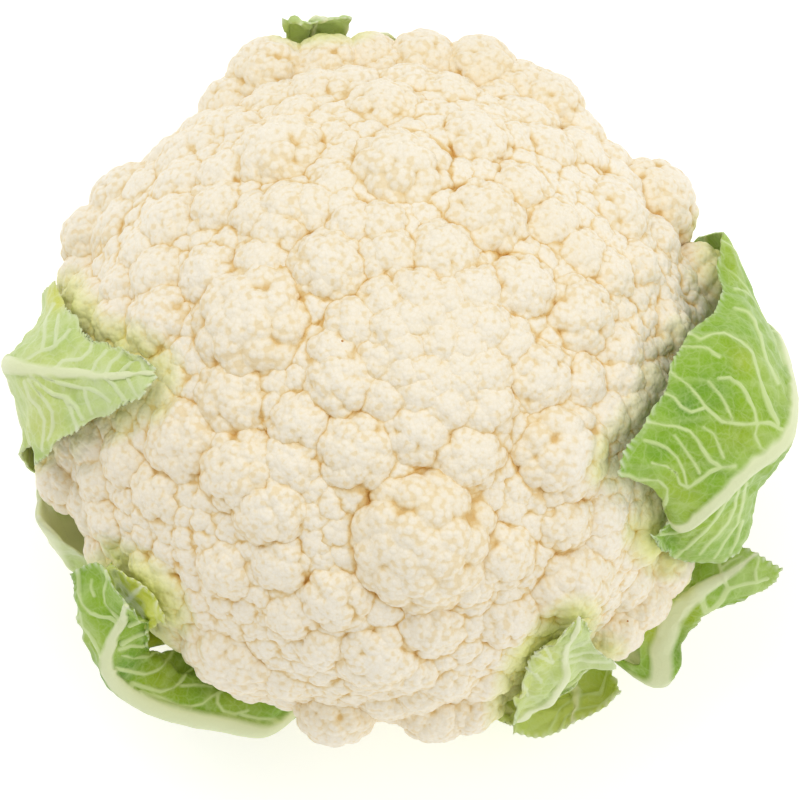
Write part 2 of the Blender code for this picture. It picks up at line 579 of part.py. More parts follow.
def main():
    for leftover in list(bpy.data.objects):
        bpy.data.objects.remove(leftover)
    collection = bpy.data.collections.new("cauliflower")
    bpy.context.scene.collection.children.link(collection)

    curd_flesh = new_material("curd_flesh", (0.88, 0.80, 0.66), 0.55)
    stalk_flesh = new_material("stalk_flesh", (0.66, 0.72, 0.46), 0.5)
    leaf_green = new_material("leaf_green", (0.25, 0.43, 0.11), 0.45)
    leaf_pale = new_material("leaf_pale", (0.48, 0.62, 0.26), 0.45)
    leaf_yellow = new_material("leaf_yellow", (0.42, 0.52, 0.06), 0.45)

    shapes = with_bumps(fill_gaps(read_florets()))
    make_curd(shapes, curd_flesh, collection)
    make_stalk(stalk_flesh, collection)
    leaves = [
        ("leaf_right", leaf_right_rows(), (28, 11), 5.5, 1.8, LEAF_GAP, leaf_green),
        ("leaf_left", leaf_left_rows(), (24, 9), 5.0, 1.6, LEAF_GAP, leaf_pale),
        ("leaf_base_left", leaf_base_left_rows(), (11, 7), 6.5, 0.0, LEAF_GAP, leaf_pale),
        ("leaf_front_left", leaf_front_left_rows(), (26, 9), 6.0, 1.2, OVER_YOUNG_LEAF_GAP, leaf_green),
        ("leaf_young", leaf_young_rows(), (14, 7), 2.4, 1.0, YOUNG_LEAF_GAP, leaf_yellow),
        ("leaf_front_inner", leaf_front_inner_rows(), (20, 9), 4.0, 1.2, LEAF_GAP, leaf_pale),
        ("leaf_front_outer", leaf_front_outer_rows(), (16, 9), 5.0, 1.4, LEAF_GAP, leaf_green),
        ("leaf_right_low", leaf_right_low_rows(), (24, 9), 3.6, 1.0, LEAF_GAP, leaf_green),
        ("leaf_back", leaf_back_rows(), (16, 7), 5.0, 1.2, LEAF_GAP, leaf_green),
        ("leaf_back_small", leaf_back_small_rows(), (12, 5), 3.0, 0.0, LEAF_GAP, leaf_pale),
        ("leaf_base_back_right", trimmed_base(44, 5, 82, 38, 15), (11, 7), 6.0, 0.0, LEAF_GAP, leaf_pale),
        ("leaf_base_back_left", trimmed_base(146, 5, 80, 37, 15), (11, 7), 6.0, 0.0, LEAF_GAP, leaf_pale),
    ]
    for name, rows, grid, rib, teeth, tip_gap, material in leaves:
        make_leaf(name, rows, grid, rib, teeth, tip_gap, shapes, material, collection)


main()
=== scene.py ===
# %% [markdown]
# # A trimmed head of cauliflower
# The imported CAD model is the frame: its sizes, places and stalk are true, and everything below rides on its
# one body. Each step adds what only the eye needs: the grain of the curd, the veins and waves of the leaves,
# the colours and the light. Lengths below are millimetres until a mesh is made, and +Z is up.

# %% The frame
import json
import math
import random

import bmesh
import bpy
import numpy as np
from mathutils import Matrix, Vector
from mathutils.kdtree import KDTree

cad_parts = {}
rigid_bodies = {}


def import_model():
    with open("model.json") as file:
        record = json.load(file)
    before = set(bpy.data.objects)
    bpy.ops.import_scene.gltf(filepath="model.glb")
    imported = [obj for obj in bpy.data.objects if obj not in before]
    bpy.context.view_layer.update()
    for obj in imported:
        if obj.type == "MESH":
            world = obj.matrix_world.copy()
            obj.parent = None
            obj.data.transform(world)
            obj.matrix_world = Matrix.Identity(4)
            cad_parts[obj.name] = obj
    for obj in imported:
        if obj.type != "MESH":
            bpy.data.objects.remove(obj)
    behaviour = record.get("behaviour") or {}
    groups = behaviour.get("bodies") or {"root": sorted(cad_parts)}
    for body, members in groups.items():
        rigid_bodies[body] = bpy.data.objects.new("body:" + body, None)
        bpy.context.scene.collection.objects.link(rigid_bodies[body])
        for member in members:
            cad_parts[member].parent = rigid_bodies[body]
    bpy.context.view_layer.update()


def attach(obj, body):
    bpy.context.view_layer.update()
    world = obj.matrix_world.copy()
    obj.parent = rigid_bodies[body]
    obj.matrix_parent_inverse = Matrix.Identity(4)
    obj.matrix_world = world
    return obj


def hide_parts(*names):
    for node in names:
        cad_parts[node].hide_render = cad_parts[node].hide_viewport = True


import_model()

MM = 0.001

# %% [markdown]
# ## The head's measures and the florets as read
# A head of cauliflower is one plant: branches leave the stalk, split again and again, and end in thousands
# of tiny buds that press together into a dome. The same numbers as in the CAD model place every floret here,
# so that relief, leaves and frame agree. Each floret was read off the photograph as a pixel, a radius
# in pixels and how far it stands out in mm. A list read one by one is the one honest record of a shape that
# grew.

# %% Measures
# The curd's dome and the stalk, in mm
HEAD_MIDDLE = np.array((0.0, 0.0, 62.0))
DOME_RADIUS = 84.0
DOME_HEIGHT = 66.0
DOME_AXES = np.array((DOME_RADIUS, DOME_RADIUS, DOME_HEIGHT))
CORE_SHARE = 0.90
CURD_HEART = np.array((0.0, 0.0, 55.0))
STALK_RADIUS = 19.8
STALK_TOP_RADIUS = 25.8
STALK_HEIGHT = 20.0
TOUCHING_GAP = 0.3
UNDERSIDE_SLOPE = 0.45
LOWEST_FLORET_ANGLE = math.radians(112)
# The photograph's view, whose frame is 800 by 800 pixels
PIXELS_PER_MM = 4.0
VIEW_MIDDLE = (384.0, 388.0)
EYE_DISTANCE = 1250.0
EYE_HEIGHT_ANGLE = math.radians(75)
ACROSS = np.array((1.0, 0.0, 0.0))
UPWARDS = np.array((0.0, math.sin(EYE_HEIGHT_ANGLE), math.cos(EYE_HEIGHT_ANGLE)))
TOWARDS_EYE = np.array((0.0, -math.cos(EYE_HEIGHT_ANGLE), math.sin(EYE_HEIGHT_ANGLE)))
EYE = HEAD_MIDDLE + EYE_DISTANCE * TOWARDS_EYE
# Florets, and the sub-florets that stand out of them in the CAD model
FLORET_GROWTH = 1.06
SMALLEST_BUMP = 5.0
BUMP_PER_RADIUS = 0.30
BUMP_OUT = 0.25
BUMP_CAP = math.radians(100)
BRANCHES_MEET = np.array((0.0, 0.0, 35.0))
GOLDEN_ANGLE = math.pi * (3 - math.sqrt(5))
# Florets that are added where none was read: how deep a gap may stay, and their radii in mm
DEEPEST_GAP = 4.5
GAP_TRIALS = 1500
SMALL_FLORETS = (5.0, 6.5)
SMALL_FLORETS_SUNK = 2.5
BACK_FLORETS = (8.5, 13.5)
SEEN_SIDE_DEPTH = 12.0
# Leaves: the CAD model's blade, this one's and how its veins rise, then gaps to the curd and the stalk
BLADE = 0.8
THIN_BLADE = 0.6
VEIN_RISE = 0.5
LEAF_GAP = 1.6
YOUNG_LEAF_GAP = 0.7
OVER_YOUNG_LEAF_GAP = 4.2
LEAF_FOOT_GAP = 1.3
LEAF_FOOT_HALF = 3.2
ACROSS_A_ROW = (-1.0, -0.5, 0.0, 0.5, 1.0)
CLEARING_STEPS = 40
CLEARING_STEP = 0.7
LOW_CLEARING = 50.0
HIGH_CLEARING = 75.0

FLORETS = [
    (268, 72, 32, 0), (232, 103, 25, 0), (273, 108, 27, 0), (299, 113, 14, -1), (241, 131, 14, -1),
    (207, 148, 20, 0), (324, 80, 34, 1), (328, 66, 30, 0), (318, 98, 25, 1), (370, 48, 14, 0),
    (385, 76, 30, 0), (425, 58, 26, 0), (480, 66, 28, 0), (522, 90, 26, 0), (446, 94, 35, 1),
    (498, 103, 21, 0), (545, 105, 32, 0), (570, 137, 28, 0), (600, 175, 32, 0), (655, 203, 38, 0),
    (285, 172, 50, 2), (228, 177, 21, 0), (222, 212, 22, 0), (256, 216, 15, 0), (284, 204, 12, 1),
    (312, 211, 19, 0), (335, 186, 15, -1), (340, 209, 11, -1), (325, 230, 15, -4), (384, 120, 36, 1),
    (401, 188, 52, 2), (475, 150, 33, 1), (515, 142, 14, -1), (541, 160, 30, 0), (519, 195, 26, 0),
    (480, 230, 42, 1), (552, 228, 21, 0), (531, 246, 15, -4), (579, 256, 20, 0), (606, 222, 38, 1),
    (610, 275, 16, 0), (643, 263, 9, 0), (665, 290, 34, 0), (708, 278, 24, 0), (702, 316, 12, 0),
    (130, 205, 36, 0), (188, 190, 26, 0), (175, 229, 28, 1), (90, 235, 24, 0), (145, 252, 17, 0),
    (162, 278, 24, 1), (92, 278, 30, 0), (122, 290, 16, 0), (100, 311, 25, 0), (122, 320, 22, 0),
    (170, 325, 37, 1), (217, 280, 31, 0), (282, 236, 27, 0), (264, 265, 20, 0), (178, 385, 26, -5),
    (130, 458, 22, 0), (100, 440, 25, 0), (60, 477, 22, 0), (103, 477, 20, 0), (118, 515, 26, 0),
    (117, 553, 27, 0), (265, 333, 65, 3), (332, 274, 38, 1), (352, 225, 12, 0), (382, 227, 15, 0),
    (387, 262, 29, 0), (443, 260, 30, 1), (518, 293, 31, 1), (385, 305, 17, 0), (357, 330, 27, 0),
    (392, 331, 12, 0), (382, 360, 17, 0), (344, 384, 32, 1), (333, 354, 10, 0), (294, 390, 14, -5),
    (389, 399, 17, 0), (360, 452, 41, 1), (303, 423, 25, 0), (293, 465, 27, 0), (245, 400, 45, 0),
    (200, 440, 46, 1), (246, 470, 38, 2), (272, 508, 28, 2), (170, 490, 30, 0), (323, 501, 24, -5),
    (360, 500, 14, -5), (418, 433, 28, 1), (465, 455, 33, 1), (486, 408, 21, 1), (550, 452, 52, 3),
    (535, 380, 32, 1), (509, 344, 19, 0), (568, 322, 42, 1), (581, 384, 18, 0), (616, 351, 20, 0),
    (661, 334, 26, 0), (619, 379, 20, 0), (607, 418, 18, 0), (633, 408, 12, 0), (649, 386, 14, 0),
    (620, 450, 20, -5), (636, 503, 30, -1), (603, 517, 18, 0), (564, 520, 22, 0), (499, 480, 12, -5),
    (505, 505, 20, -5), (440, 345, 26, 1), (419, 296, 17, 1), (447, 302, 14, 1), (475, 293, 19, 1),
    (412, 319, 11, 1), (433, 316, 10, 1), (465, 322, 12, 1), (487, 329, 14, 1), (394, 331, 12, 1),
    (406, 350, 11, 1), (406, 373, 12, 1), (425, 374, 7, 1), (421, 394, 15, 1), (439, 384, 10, 1),
    (463, 384, 11, 1), (464, 370, 9, 1), (468, 343, 9, 1), (486, 373, 16, 1), (449, 406, 15, 1),
    (420, 530, 70, 6), (176, 565, 38, 0), (232, 565, 25, 0), (285, 560, 25, 0), (337, 591, 31, 1),
    (294, 612, 18, 0), (324, 645, 17, 0), (245, 630, 58, 3), (378, 640, 43, 2), (378, 587, 15, -5),
    (430, 620, 32, 0), (468, 578, 20, 0), (500, 553, 27, 1), (505, 610, 30, 0), (560, 570, 45, 2),
    (560, 520, 25, 0), (600, 535, 20, 0), (454, 644, 22, -4), (413, 673, 12, 0), (447, 676, 20, 0),
    (420, 695, 14, 0), (484, 676, 20, 0), (435, 708, 30, 0), (470, 705, 25, 0), (335, 715, 28, 0),
    (329, 690, 26, 0), (390, 695, 20, 0), (286, 676, 18, 0), (250, 676, 22, 0), (626, 580, 22, 0),
    (637, 537, 22, 0), (665, 568, 24, 0), (648, 605, 18, 0), (604, 612, 27, 0), (623, 637, 15, 0),
]

print(len(FLORETS), "florets read")

# %% [markdown]
# ## Places on the head
# The photograph looks down on the head from 75 degrees above the table. These functions carry a place in it
# onto the dome or to a height, and say how far the curd reaches in any direction from its heart. They are
# the CAD model's own rules, written out again, because this script has to stand alone.

# %% Places and reaches
def seen_from_above(x, y):
    """The direction from the eye to what is seen at pixel x, y."""
    aim = (x - VIEW_MIDDLE[0]) * ACROSS + (VIEW_MIDDLE[1] - y) * UPWARDS
    aim = aim / PIXELS_PER_MM + HEAD_MIDDLE - EYE
    return aim / np.linalg.norm(aim)


def on_dome(x, y, lift):
    """The point seen at x, y on the dome grown by lift mm, or where that line of sight passes nearest."""
    aim = seen_from_above(x, y)
    axes = DOME_AXES + lift
    start = (EYE - HEAD_MIDDLE) / axes
    step = aim / axes
    middle = -start.dot(step) / step.dot(step)
    depth = middle**2 - (start.dot(start) - 1) / step.dot(step)
    return EYE + (middle - math.sqrt(max(depth, 0.0))) * aim


def at_height(x, y, height):
    """The point seen at x, y that lies height mm above the table."""
    aim = seen_from_above(x, y)
    return EYE + (height - EYE[2]) / aim[2] * aim


def round_stalk(angle, radius, height):
    """The point at a compass angle round the stalk, in degrees, a distance from its axis and a height."""
    turn = math.radians(angle)
    return np.array((radius * math.cos(turn), radius * math.sin(turn), height))


def sphere_reach(directions, middle, radius):
    """How far from the curd's heart each direction leaves the sphere, or 0 where it misses it."""
    offset = middle - CURD_HEART
    along = directions @ offset
    inside = radius**2 - offset.dot(offset) + along**2
    return np.where((inside > 0) & (along > 0), along + np.sqrt(np.maximum(inside, 0)), 0.0)


def dome_reach(directions, share):
    """How far from the curd's heart the dome, scaled by share, lies in each direction."""
    axes = DOME_AXES * share
    start = (CURD_HEART - HEAD_MIDDLE) / axes
    steps = directions / axes
    square = (steps**2).sum(axis=1)
    half = steps @ start
    return (-half + np.sqrt(half**2 - square * (start.dot(start) - 1))) / square


def underside_reach(directions):
    """How far from the curd's heart its underside lies: flat over the stalk, ribbed branches round it."""
    flat_drop = CURD_HEART[2] - STALK_HEIGHT - TOUCHING_GAP
    sideways = np.hypot(directions[:, 0], directions[:, 1])
    branches = 1 + 0.02 * np.cos(9 * np.arctan2(directions[:, 1], directions[:, 0]))
    cone_drop = flat_drop + UNDERSIDE_SLOPE * STALK_TOP_RADIUS
    to_flat = flat_drop / np.maximum(-directions[:, 2], 1e-6)
    to_cone = cone_drop / np.maximum(UNDERSIDE_SLOPE * sideways * branches - directions[:, 2], 1e-6)
    return np.minimum(to_flat, to_cone)


def unit(vectors):
    """Rows of vectors, each scaled to length 1."""
    return vectors / np.maximum(np.linalg.norm(vectors, axis=-1, keepdims=True), 1e-9)


def turned_to(axis):
    """A rotation matrix that carries +Z to axis."""
    side = np.cross(axis, (0.31, 0.52, 0.79))
    side /= np.linalg.norm(side)
    return np.array((side, np.cross(axis, side), axis)).T


def spiral_cap(axis, count, widest):
    """Unit vectors from a golden-angle spiral round axis, out to the angle widest."""
    side, other, axis = turned_to(axis).T
    steps = np.arange(count)
    polar = widest * ((steps + 0.3) / count) ** 0.62
    turn = steps * GOLDEN_ANGLE
    ring = np.outer(np.cos(turn), side) + np.outer(np.sin(turn), other)
    return np.outer(np.cos(polar), axis) + np.sin(polar)[:, None] * ring


def read_florets():
    """Each floret that the view shows, as the middle and radius of its ball."""
    balls = []
    for x, y, pixels, stands_out in FLORETS:
        radius = pixels / PIXELS_PER_MM * FLORET_GROWTH
        balls.append((on_dome(x, y, stands_out - radius), radius))
    return balls


def farthest_ball(direction, balls):
    """How far from the curd's heart the outermost ball is left, in one direction."""
    offsets = np.array([middle for middle, radius in balls]) - CURD_HEART
    radii = np.array([radius for middle, radius in balls])
    along = offsets @ direction
    inside = radii**2 - (offsets**2).sum(axis=1) + along**2
    hit = (inside > 0) & (along > 0)
    return (along[hit] + np.sqrt(inside[hit])).max(initial=0.0)


def fill_gaps(balls):
    """Adds a floret wherever none reaches the dome: small ones between those seen, larger at the back."""
    draw = random.Random(11)
    for step in range(GAP_TRIALS):
        rise = 1 - (step + 0.5) / GAP_TRIALS * (1 - math.cos(LOWEST_FLORET_ANGLE))
        level = math.sqrt(1 - rise**2)
        turn = step * GOLDEN_ANGLE
        direction = np.array([(level * math.cos(turn), level * math.sin(turn), rise)])
        surface = dome_reach(direction, 1.0)[0]
        if farthest_ball(direction[0], balls) > surface - DEEPEST_GAP:
            continue
        point = CURD_HEART + surface * direction[0]
        if (point - HEAD_MIDDLE).dot(TOWARDS_EYE) > SEEN_SIDE_DEPTH:
            radius, sunk = draw.uniform(*SMALL_FLORETS), SMALL_FLORETS_SUNK
        else:
            radius, sunk = draw.uniform(*BACK_FLORETS), 0.0
        outward = (point - HEAD_MIDDLE) / DOME_AXES
        outward /= np.linalg.norm(outward)
        balls.append((point - outward * (radius + sunk), radius))
    return balls


def with_bumps(balls):
    """Each floret's ball, a little smaller, and the sub-florets that stand out of it in a spiral."""
    shapes = []
    for middle, radius in balls:
        bump = max(SMALLEST_BUMP, BUMP_PER_RADIUS * radius)
        if radius < 1.5 * bump:
            shapes.append((middle, radius))
            continue
        axis = middle - BRANCHES_MEET
        axis /= np.linalg.norm(axis)
        shapes.append((middle, radius - 0.45 * bump))
        count = round(2.1 * (radius / bump) ** 2)
        for out in spiral_cap(axis, count, BUMP_CAP):
            shapes.append((middle + out * (radius - (1 - BUMP_OUT) * bump), bump))
    return shapes


def curd_reach(directions, shapes):
    """How far the curd's surface lies from its heart in each direction."""
    reach = dome_reach(directions, CORE_SHARE)
    for middle, radius in shapes:
        offset = middle - CURD_HEART
        distance = np.linalg.norm(offset)
        least = math.sqrt(max(0.0, 1 - (radius / distance) ** 2))
        near = np.nonzero(directions @ (offset / distance) > least)[0]
        reach[near] = np.maximum(reach[near], sphere_reach(directions[near], middle, radius))
    return np.minimum(reach, underside_reach(directions))


def reach_round(points, shapes):
    """How far out from the curd's heart its surface comes within a few degrees of each point."""
    outward = unit(points - CURD_HEART)
    side = unit(np.cross(outward, (0.0, 0.6, 0.8)))
    other = np.cross(outward, side)
    probes = [outward]
    for spread in (0.035, 0.07):
        for turn in np.arange(8) * math.pi / 4:
            probes.append(outward + spread * (math.cos(turn) * side + math.sin(turn) * other))
    probes = unit(np.array(probes))
    return curd_reach(probes.reshape(-1, 3), shapes).reshape(len(probes), -1).max(axis=0)


def clear_of_curd(points, shapes, gap):
    """Points moved until they are gap clear of the curd: low ones outwards, high ones towards the eye."""
    points = points.copy()
    near = np.arange(len(points))
    for step in range(CLEARING_STEPS):
        outward = points[near] - CURD_HEART
        distance = np.linalg.norm(outward, axis=1)
        too_near = distance < reach_round(points[near], shapes) + gap[near]
        near = near[too_near]
        if not len(near):
            break
        high = np.clip((points[near, 2] - LOW_CLEARING) / (HIGH_CLEARING - LOW_CLEARING), 0, 1)
        way = outward[too_near] / distance[too_near, None] + 2 * high[:, None] * TOWARDS_EYE
        points[near] += CLEARING_STEP * way / np.linalg.norm(way, axis=1)[:, None]
    return points


def smooth_through(points, samples):
    """A smooth curve through points, or through rows of points, read at evenly spaced samples."""
    points = np.asarray(points, float)
    last = len(points) - 1
    before = 2 * points[0] - points[1]
    after = 2 * points[-1] - points[-2]
    padded = np.concatenate(([before], points, [after]))
    place = np.linspace(0, last, samples)
    knot = np.minimum(place.astype(int), last - 1)
    t = (place - knot).reshape((-1,) + (1,) * (points.ndim - 1))
    p0, p1, p2, p3 = (padded[knot + shift] for shift in range(4))
    bend = 2 * p0 - 5 * p1 + 4 * p2 - p3
    return p1 + 0.5 * t * (p2 - p0 + t * (bend + t * (3 * (p1 - p2) + p3 - p0)))


balls = fill_gaps(read_florets())
shapes = with_bumps(balls)
print(len(balls), "florets in all, the gaps between those read filled with small ones")

# %% [markdown]
# ## Helpers for every node tree
# Geometry and material trees are both built by adding nodes and linking sockets. What a node gives out is
# wrapped as a value here, so that a sum can be written as a sum, and each tree below reads as a list of
# steps.

# %% Helpers
class Value:
    """What a node gives out. Arithmetic on numbers adds the nodes that work it out."""

    def __init__(self, tree, socket):
        self.tree = tree
        self.socket = socket

    def __add__(self, other):
        return number("ADD", self, other)

    def __radd__(self, other):
        return number("ADD", other, self)

    def __sub__(self, other):
        return number("SUBTRACT", self, other)

    def __rsub__(self, other):
        return number("SUBTRACT", other, self)

    def __mul__(self, other):
        return number("MULTIPLY", self, other)

    def __truediv__(self, other):
        return number("DIVIDE", self, other)

    def __pow__(self, other):
        return number("POWER", self, other)


def add(tree, kind, inputs=None, **settings):
    """A node of that kind, its settings made, and each input set to a constant or linked to a value."""
    node = tree.nodes.new(kind)
    for name, setting in settings.items():
        setattr(node, name, setting)
    for key, given in (inputs or {}).items():
        if isinstance(given, Value):
            tree.links.new(given.socket, node.inputs[key])
        else:
            node.inputs[key].default_value = given
    return node


def read(tree, kind, inputs=None, out=0, **settings):
    """What a new node of that kind gives out."""
    return Value(tree, add(tree, kind, inputs, **settings).outputs[out])


def number(operation, *values):
    """The result of arithmetic on numbers, such as SINE or MAXIMUM."""
    tree = next(value.tree for value in values if isinstance(value, Value))
    return read(tree, "ShaderNodeMath", dict(enumerate(values)), operation=operation)


def vector(operation, first, *others, out="Vector", scale=None):
    """The result of arithmetic on places or directions, such as NORMALIZE or SCALE."""
    inputs = dict(enumerate((first, *others)))
    if scale is not None:
        inputs["Scale"] = scale
    return read(first.tree, "ShaderNodeVectorMath", inputs, out, operation=operation)


def ramp(value, start, end, at_start, at_end, **settings):
    """A number that runs from at_start, where value is start or less, to at_end, where it is end or more."""
    inputs = {0: value, 1: start, 2: end, 3: at_start, 4: at_end}
    return read(value.tree, "ShaderNodeMapRange", inputs, **settings)


def set_sockets(node, constants):
    """Sets a node's sockets by name."""
    for name, constant in constants.items():
        node.inputs[name].default_value = constant


def colour(code):
    """A colour written as sRGB hex, as the linear values that a shader takes."""
    parts = [int(code[start:start + 2], 16) / 255 for start in (1, 3, 5)]
    return (*[part / 12.92 if part <= 0.04045 else ((part + 0.055) / 1.055) ** 2.4 for part in parts], 1.0)


def linked(name, data):
    """A new object with that data, in the scene."""
    made = bpy.data.objects.new(name, data)
    bpy.context.scene.collection.objects.link(made)
    return made


def solid(name, points, triangles, material, values):
    """A mesh object from arrays of points in mm and triangles, with named values for its points."""
    mesh = bpy.data.meshes.new(name)
    mesh.vertices.add(len(points))
    mesh.vertices.foreach_set("co", (np.asarray(points) * MM).astype(np.float32).ravel())
    mesh.loops.add(3 * len(triangles))
    mesh.loops.foreach_set("vertex_index", np.asarray(triangles, np.int32).ravel())
    mesh.polygons.add(len(triangles))
    mesh.polygons.foreach_set("loop_start", np.arange(len(triangles), dtype=np.int32) * 3)
    mesh.update(calc_edges=True)
    for key, value in values.items():
        layer = mesh.attributes.new(key, "FLOAT", "POINT")
        layer.data.foreach_set("value", np.asarray(value, np.float32))
    mesh.materials.append(material)
    mesh.shade_smooth()
    return linked(name, mesh)


def thinned(made, kept):
    """Replaces an object's mesh by one with that share of its triangles where its buried value is high.

    Buried is 1 where nobody can look: on skin that is pressed inside a neighbour, or on a face turned away.
    """
    data = np.empty(len(made.data.vertices), np.float32)
    made.data.attributes["buried"].data.foreach_get("value", data)
    deep = np.nonzero(data > 0.5)[0]
    edge = np.nonzero((data > 0.1) & (data <= 0.5))[0]
    hidden = made.vertex_groups.new(name="hidden")
    hidden.add(deep.tolist(), 1.0, "REPLACE")
    hidden.add(edge.tolist(), 0.3, "REPLACE")
    thin = made.modifiers.new("thin", "DECIMATE")
    thin.ratio = 1 - (1 - kept) * (len(deep) + 0.6 * len(edge)) / len(data)
    thin.vertex_group = "hidden"
    graph = bpy.context.evaluated_depsgraph_get()
    mesh = bpy.data.meshes.new_from_object(made.evaluated_get(graph))
    full = made.data
    made.modifiers.remove(thin)
    made.data = mesh
    made.vertex_groups.clear()
    bpy.data.meshes.remove(full)
    mesh.name = made.name
    mesh.attributes.remove(mesh.attributes["buried"])


# %% [markdown]
# ## Curd flesh
# Curd is wet, pale, finely grained flesh. Light goes a few millimetres into it and comes back warm, so that
# creases glow orange instead of going grey. Here that glow and the shade in the creases are painted into the
# base colour: it runs from cream on the buds through straw in the small creases to tan in the deep ones, and
# is painted yellow-green where a leaf lies against it, for the green light that the leaf passes and throws
# back.
# Grains a little over a millimetre across, and a finer tooth on them, are bump, with painted shade in the
# thin outlines between grains.

# %% Curd material
# Grains to a metre, so that each is 1.25 mm across
GRAINS = 800.0


def stored(tree, name):
    """The value that the mesh keeps for its points under that name."""
    return read(tree, "ShaderNodeAttribute", out="Fac", attribute_name=name)


def noise(place, scale, detail=2.0, out="Fac"):
    """Soft random patches, about scale of them to a metre. Higher detail puts finer ones into them."""
    return read(place.tree, "ShaderNodeTexNoise", {"Vector": place, "Scale": scale, "Detail": detail}, out)


def cells(place, scale, **settings):
    """How far each place is from the middle of its cell, about scale cells to a metre, or from its edge."""
    inputs = {"Vector": place, "Scale": scale}
    return read(place.tree, "ShaderNodeTexVoronoi", inputs, "Distance", **settings)


def mixed(share, first, second):
    """The first colour with a share of the second in it."""
    return read(share.tree, "ShaderNodeMix", {0: share, 6: first, 7: second}, 2, data_type="RGBA")


def new_material(name):
    """A material, its node tree and the place on the object that its patterns follow."""
    material = bpy.data.materials.new(name)
    material.use_nodes = True
    tree = material.node_tree
    return material, tree, read(tree, "ShaderNodeTexCoord", out="Object")


def finish_material(material, tone, height, strength, depth, looks, inwards=False):
    """Links a material's colour, and its bump of that strength and depth in metres, and sets the rest."""
    tree = material.node_tree
    shader = tree.nodes["Principled BSDF"]
    inputs = {"Strength": strength, "Distance": depth, "Height": height}
    bump = add(tree, "ShaderNodeBump", inputs, invert=inwards)
    tree.links.new(tone.socket, shader.inputs["Base Color"])
    tree.links.new(bump.outputs[0], shader.inputs["Normal"])
    set_sockets(shader, looks)
    return material


def curd_flesh_material():
    """Curd flesh, coloured by the creases and gaps that the mesh knows of."""
    material, tree, place = new_material("cauliflower curd flesh")
    gap = stored(tree, "gap")
    lump = stored(tree, "lump_crease")
    bud = stored(tree, "bud_crease")
    # Painted glow and shade: the longer light runs inside the flesh, the more of its blue and then its green
    # is gone, so the flesh colour is raised to a power that grows with the depth of each crease and gap, from
    # cream through straw to a deep orange-tan
    between = ramp(cells(place, GRAINS, feature="DISTANCE_TO_EDGE"), 0.0, 0.16, 1.0, 0.0)
    run = 0.80 + noise(place, 25.0) * 0.8
    run = run + number("MINIMUM", bud, 0.6) ** 3.0 * 6.5
    # Painted shade in the thin outlines between grains
    run = run + between * 0.3
    run = run + number("MINIMUM", lump, 0.88) ** 4.0 * 5.0
    run = run + gap * gap * 9.0
    tone = read(tree, "ShaderNodeGamma", {"Color": colour("#FAF3E3"), "Gamma": run})
    # Painted light: yellow-green where a leaf is near, for the green light that it passes and throws back
    tone = mixed(stored(tree, "painted_leaf_light") * 0.85, tone, colour("#E8EC80"))
    # A few dark pinpricks where a bud was bruised
    small = number("LESS_THAN", cells(place, 110.0), 0.035)
    rare = number("GREATER_THAN", noise(place, 60.0), 0.64)
    tone = mixed(small * rare, tone, colour("#C0874A"))
    # Round grains, too fine for the mesh, and a finer tooth on them
    grain = cells(place, GRAINS)
    tooth = cells(place, 2 * GRAINS)
    height = grain * grain + tooth * tooth * 0.2
    looks = {"Roughness": 0.5, "Specular IOR Level": 0.3}
    return finish_material(material, tone, height, 0.5, 0.0004, looks, inwards=True)


curd_flesh = curd_flesh_material()
print("material", curd_flesh.name, len(curd_flesh.node_tree.nodes), "nodes")

# %% [markdown]
# ## A floret, grown by a rule
# A floret branches by one rule at every size: lumps sit on it in a golden-angle spiral, and buds sit on
# each lump in another. A node tree follows that rule. It lays a golden spiral of points on a ball, most of
# them within the front angle, where they show, and wraps them in a convex hull, which gives an even closed
# skin. It then raises the skin over the two nested spirals and draws the back out into the branch that the
# floret grows on. Sockets give each floret its radius, its counts and its seed.

# %% Floret tree
# The share of the skin's points in front, then how far round lumps and buds lie and how far they stray
FRONT_POINTS = 0.84
LUMP_CAP = math.radians(112)
LUMP_SHAKE = 0.16
BUD_CAP = math.radians(58)
BUD_SHAKE = 0.5
BUD_HEIGHT = 0.26
BACK_ANGLE = math.radians(104)


def in_all_directions(value):
    """A scale in which all three numbers are that value."""
    return read(value.tree, "ShaderNodeCombineXYZ", {0: value, 1: value, 2: value})


def moved(geometry, **where):
    """The geometry with its points moved by an Offset or to a Position."""
    return read(geometry.tree, "GeometryNodeSetPosition", {"Geometry": geometry, **where})


def noted(geometry, name, value, kind="FLOAT"):
    """The geometry with a value kept on its points under that name."""
    return read(geometry.tree, "GeometryNodeStoreNamedAttribute", {
        "Geometry": geometry, "Name": name, "Value": value,
    }, data_type=kind, domain="POINT")


def by_chance(tree, seed, out):
    """A random value for each point."""
    index = read(tree, "GeometryNodeInputIndex")
    return read(tree, "ShaderNodeTexWhiteNoise", {"W": index + seed}, out, noise_dimensions="1D")


def ball_points(tree, count, polar, turn):
    """A point cloud on the unit ball at those polar angles and turns."""
    level = number("SINE", polar)
    place = read(tree, "ShaderNodeCombineXYZ", {
        0: level * number("COSINE", turn),
        1: level * number("SINE", turn),
        2: number("COSINE", polar),
    })
    return moved(read(tree, "GeometryNodePoints", {"Count": count}), Position=place)


def spiral_points(tree, count, widest, growth, shift):
    """A point cloud in a golden-angle spiral round +Z on the unit ball, out to the angle widest."""
    index = read(tree, "GeometryNodeInputIndex")
    share = (index + 0.35) / count
    return ball_points(tree, count, share ** growth * widest, (index + shift) * GOLDEN_ANGLE)


def shaken(cloud, amount, seed):
    """A cloud with each point moved at random by up to amount."""
    offset = vector("SUBTRACT", by_chance(cloud.tree, seed, "Color"), (0.5, 0.5, 0.5))
    return moved(cloud, Offset=vector("SCALE", offset, scale=amount))


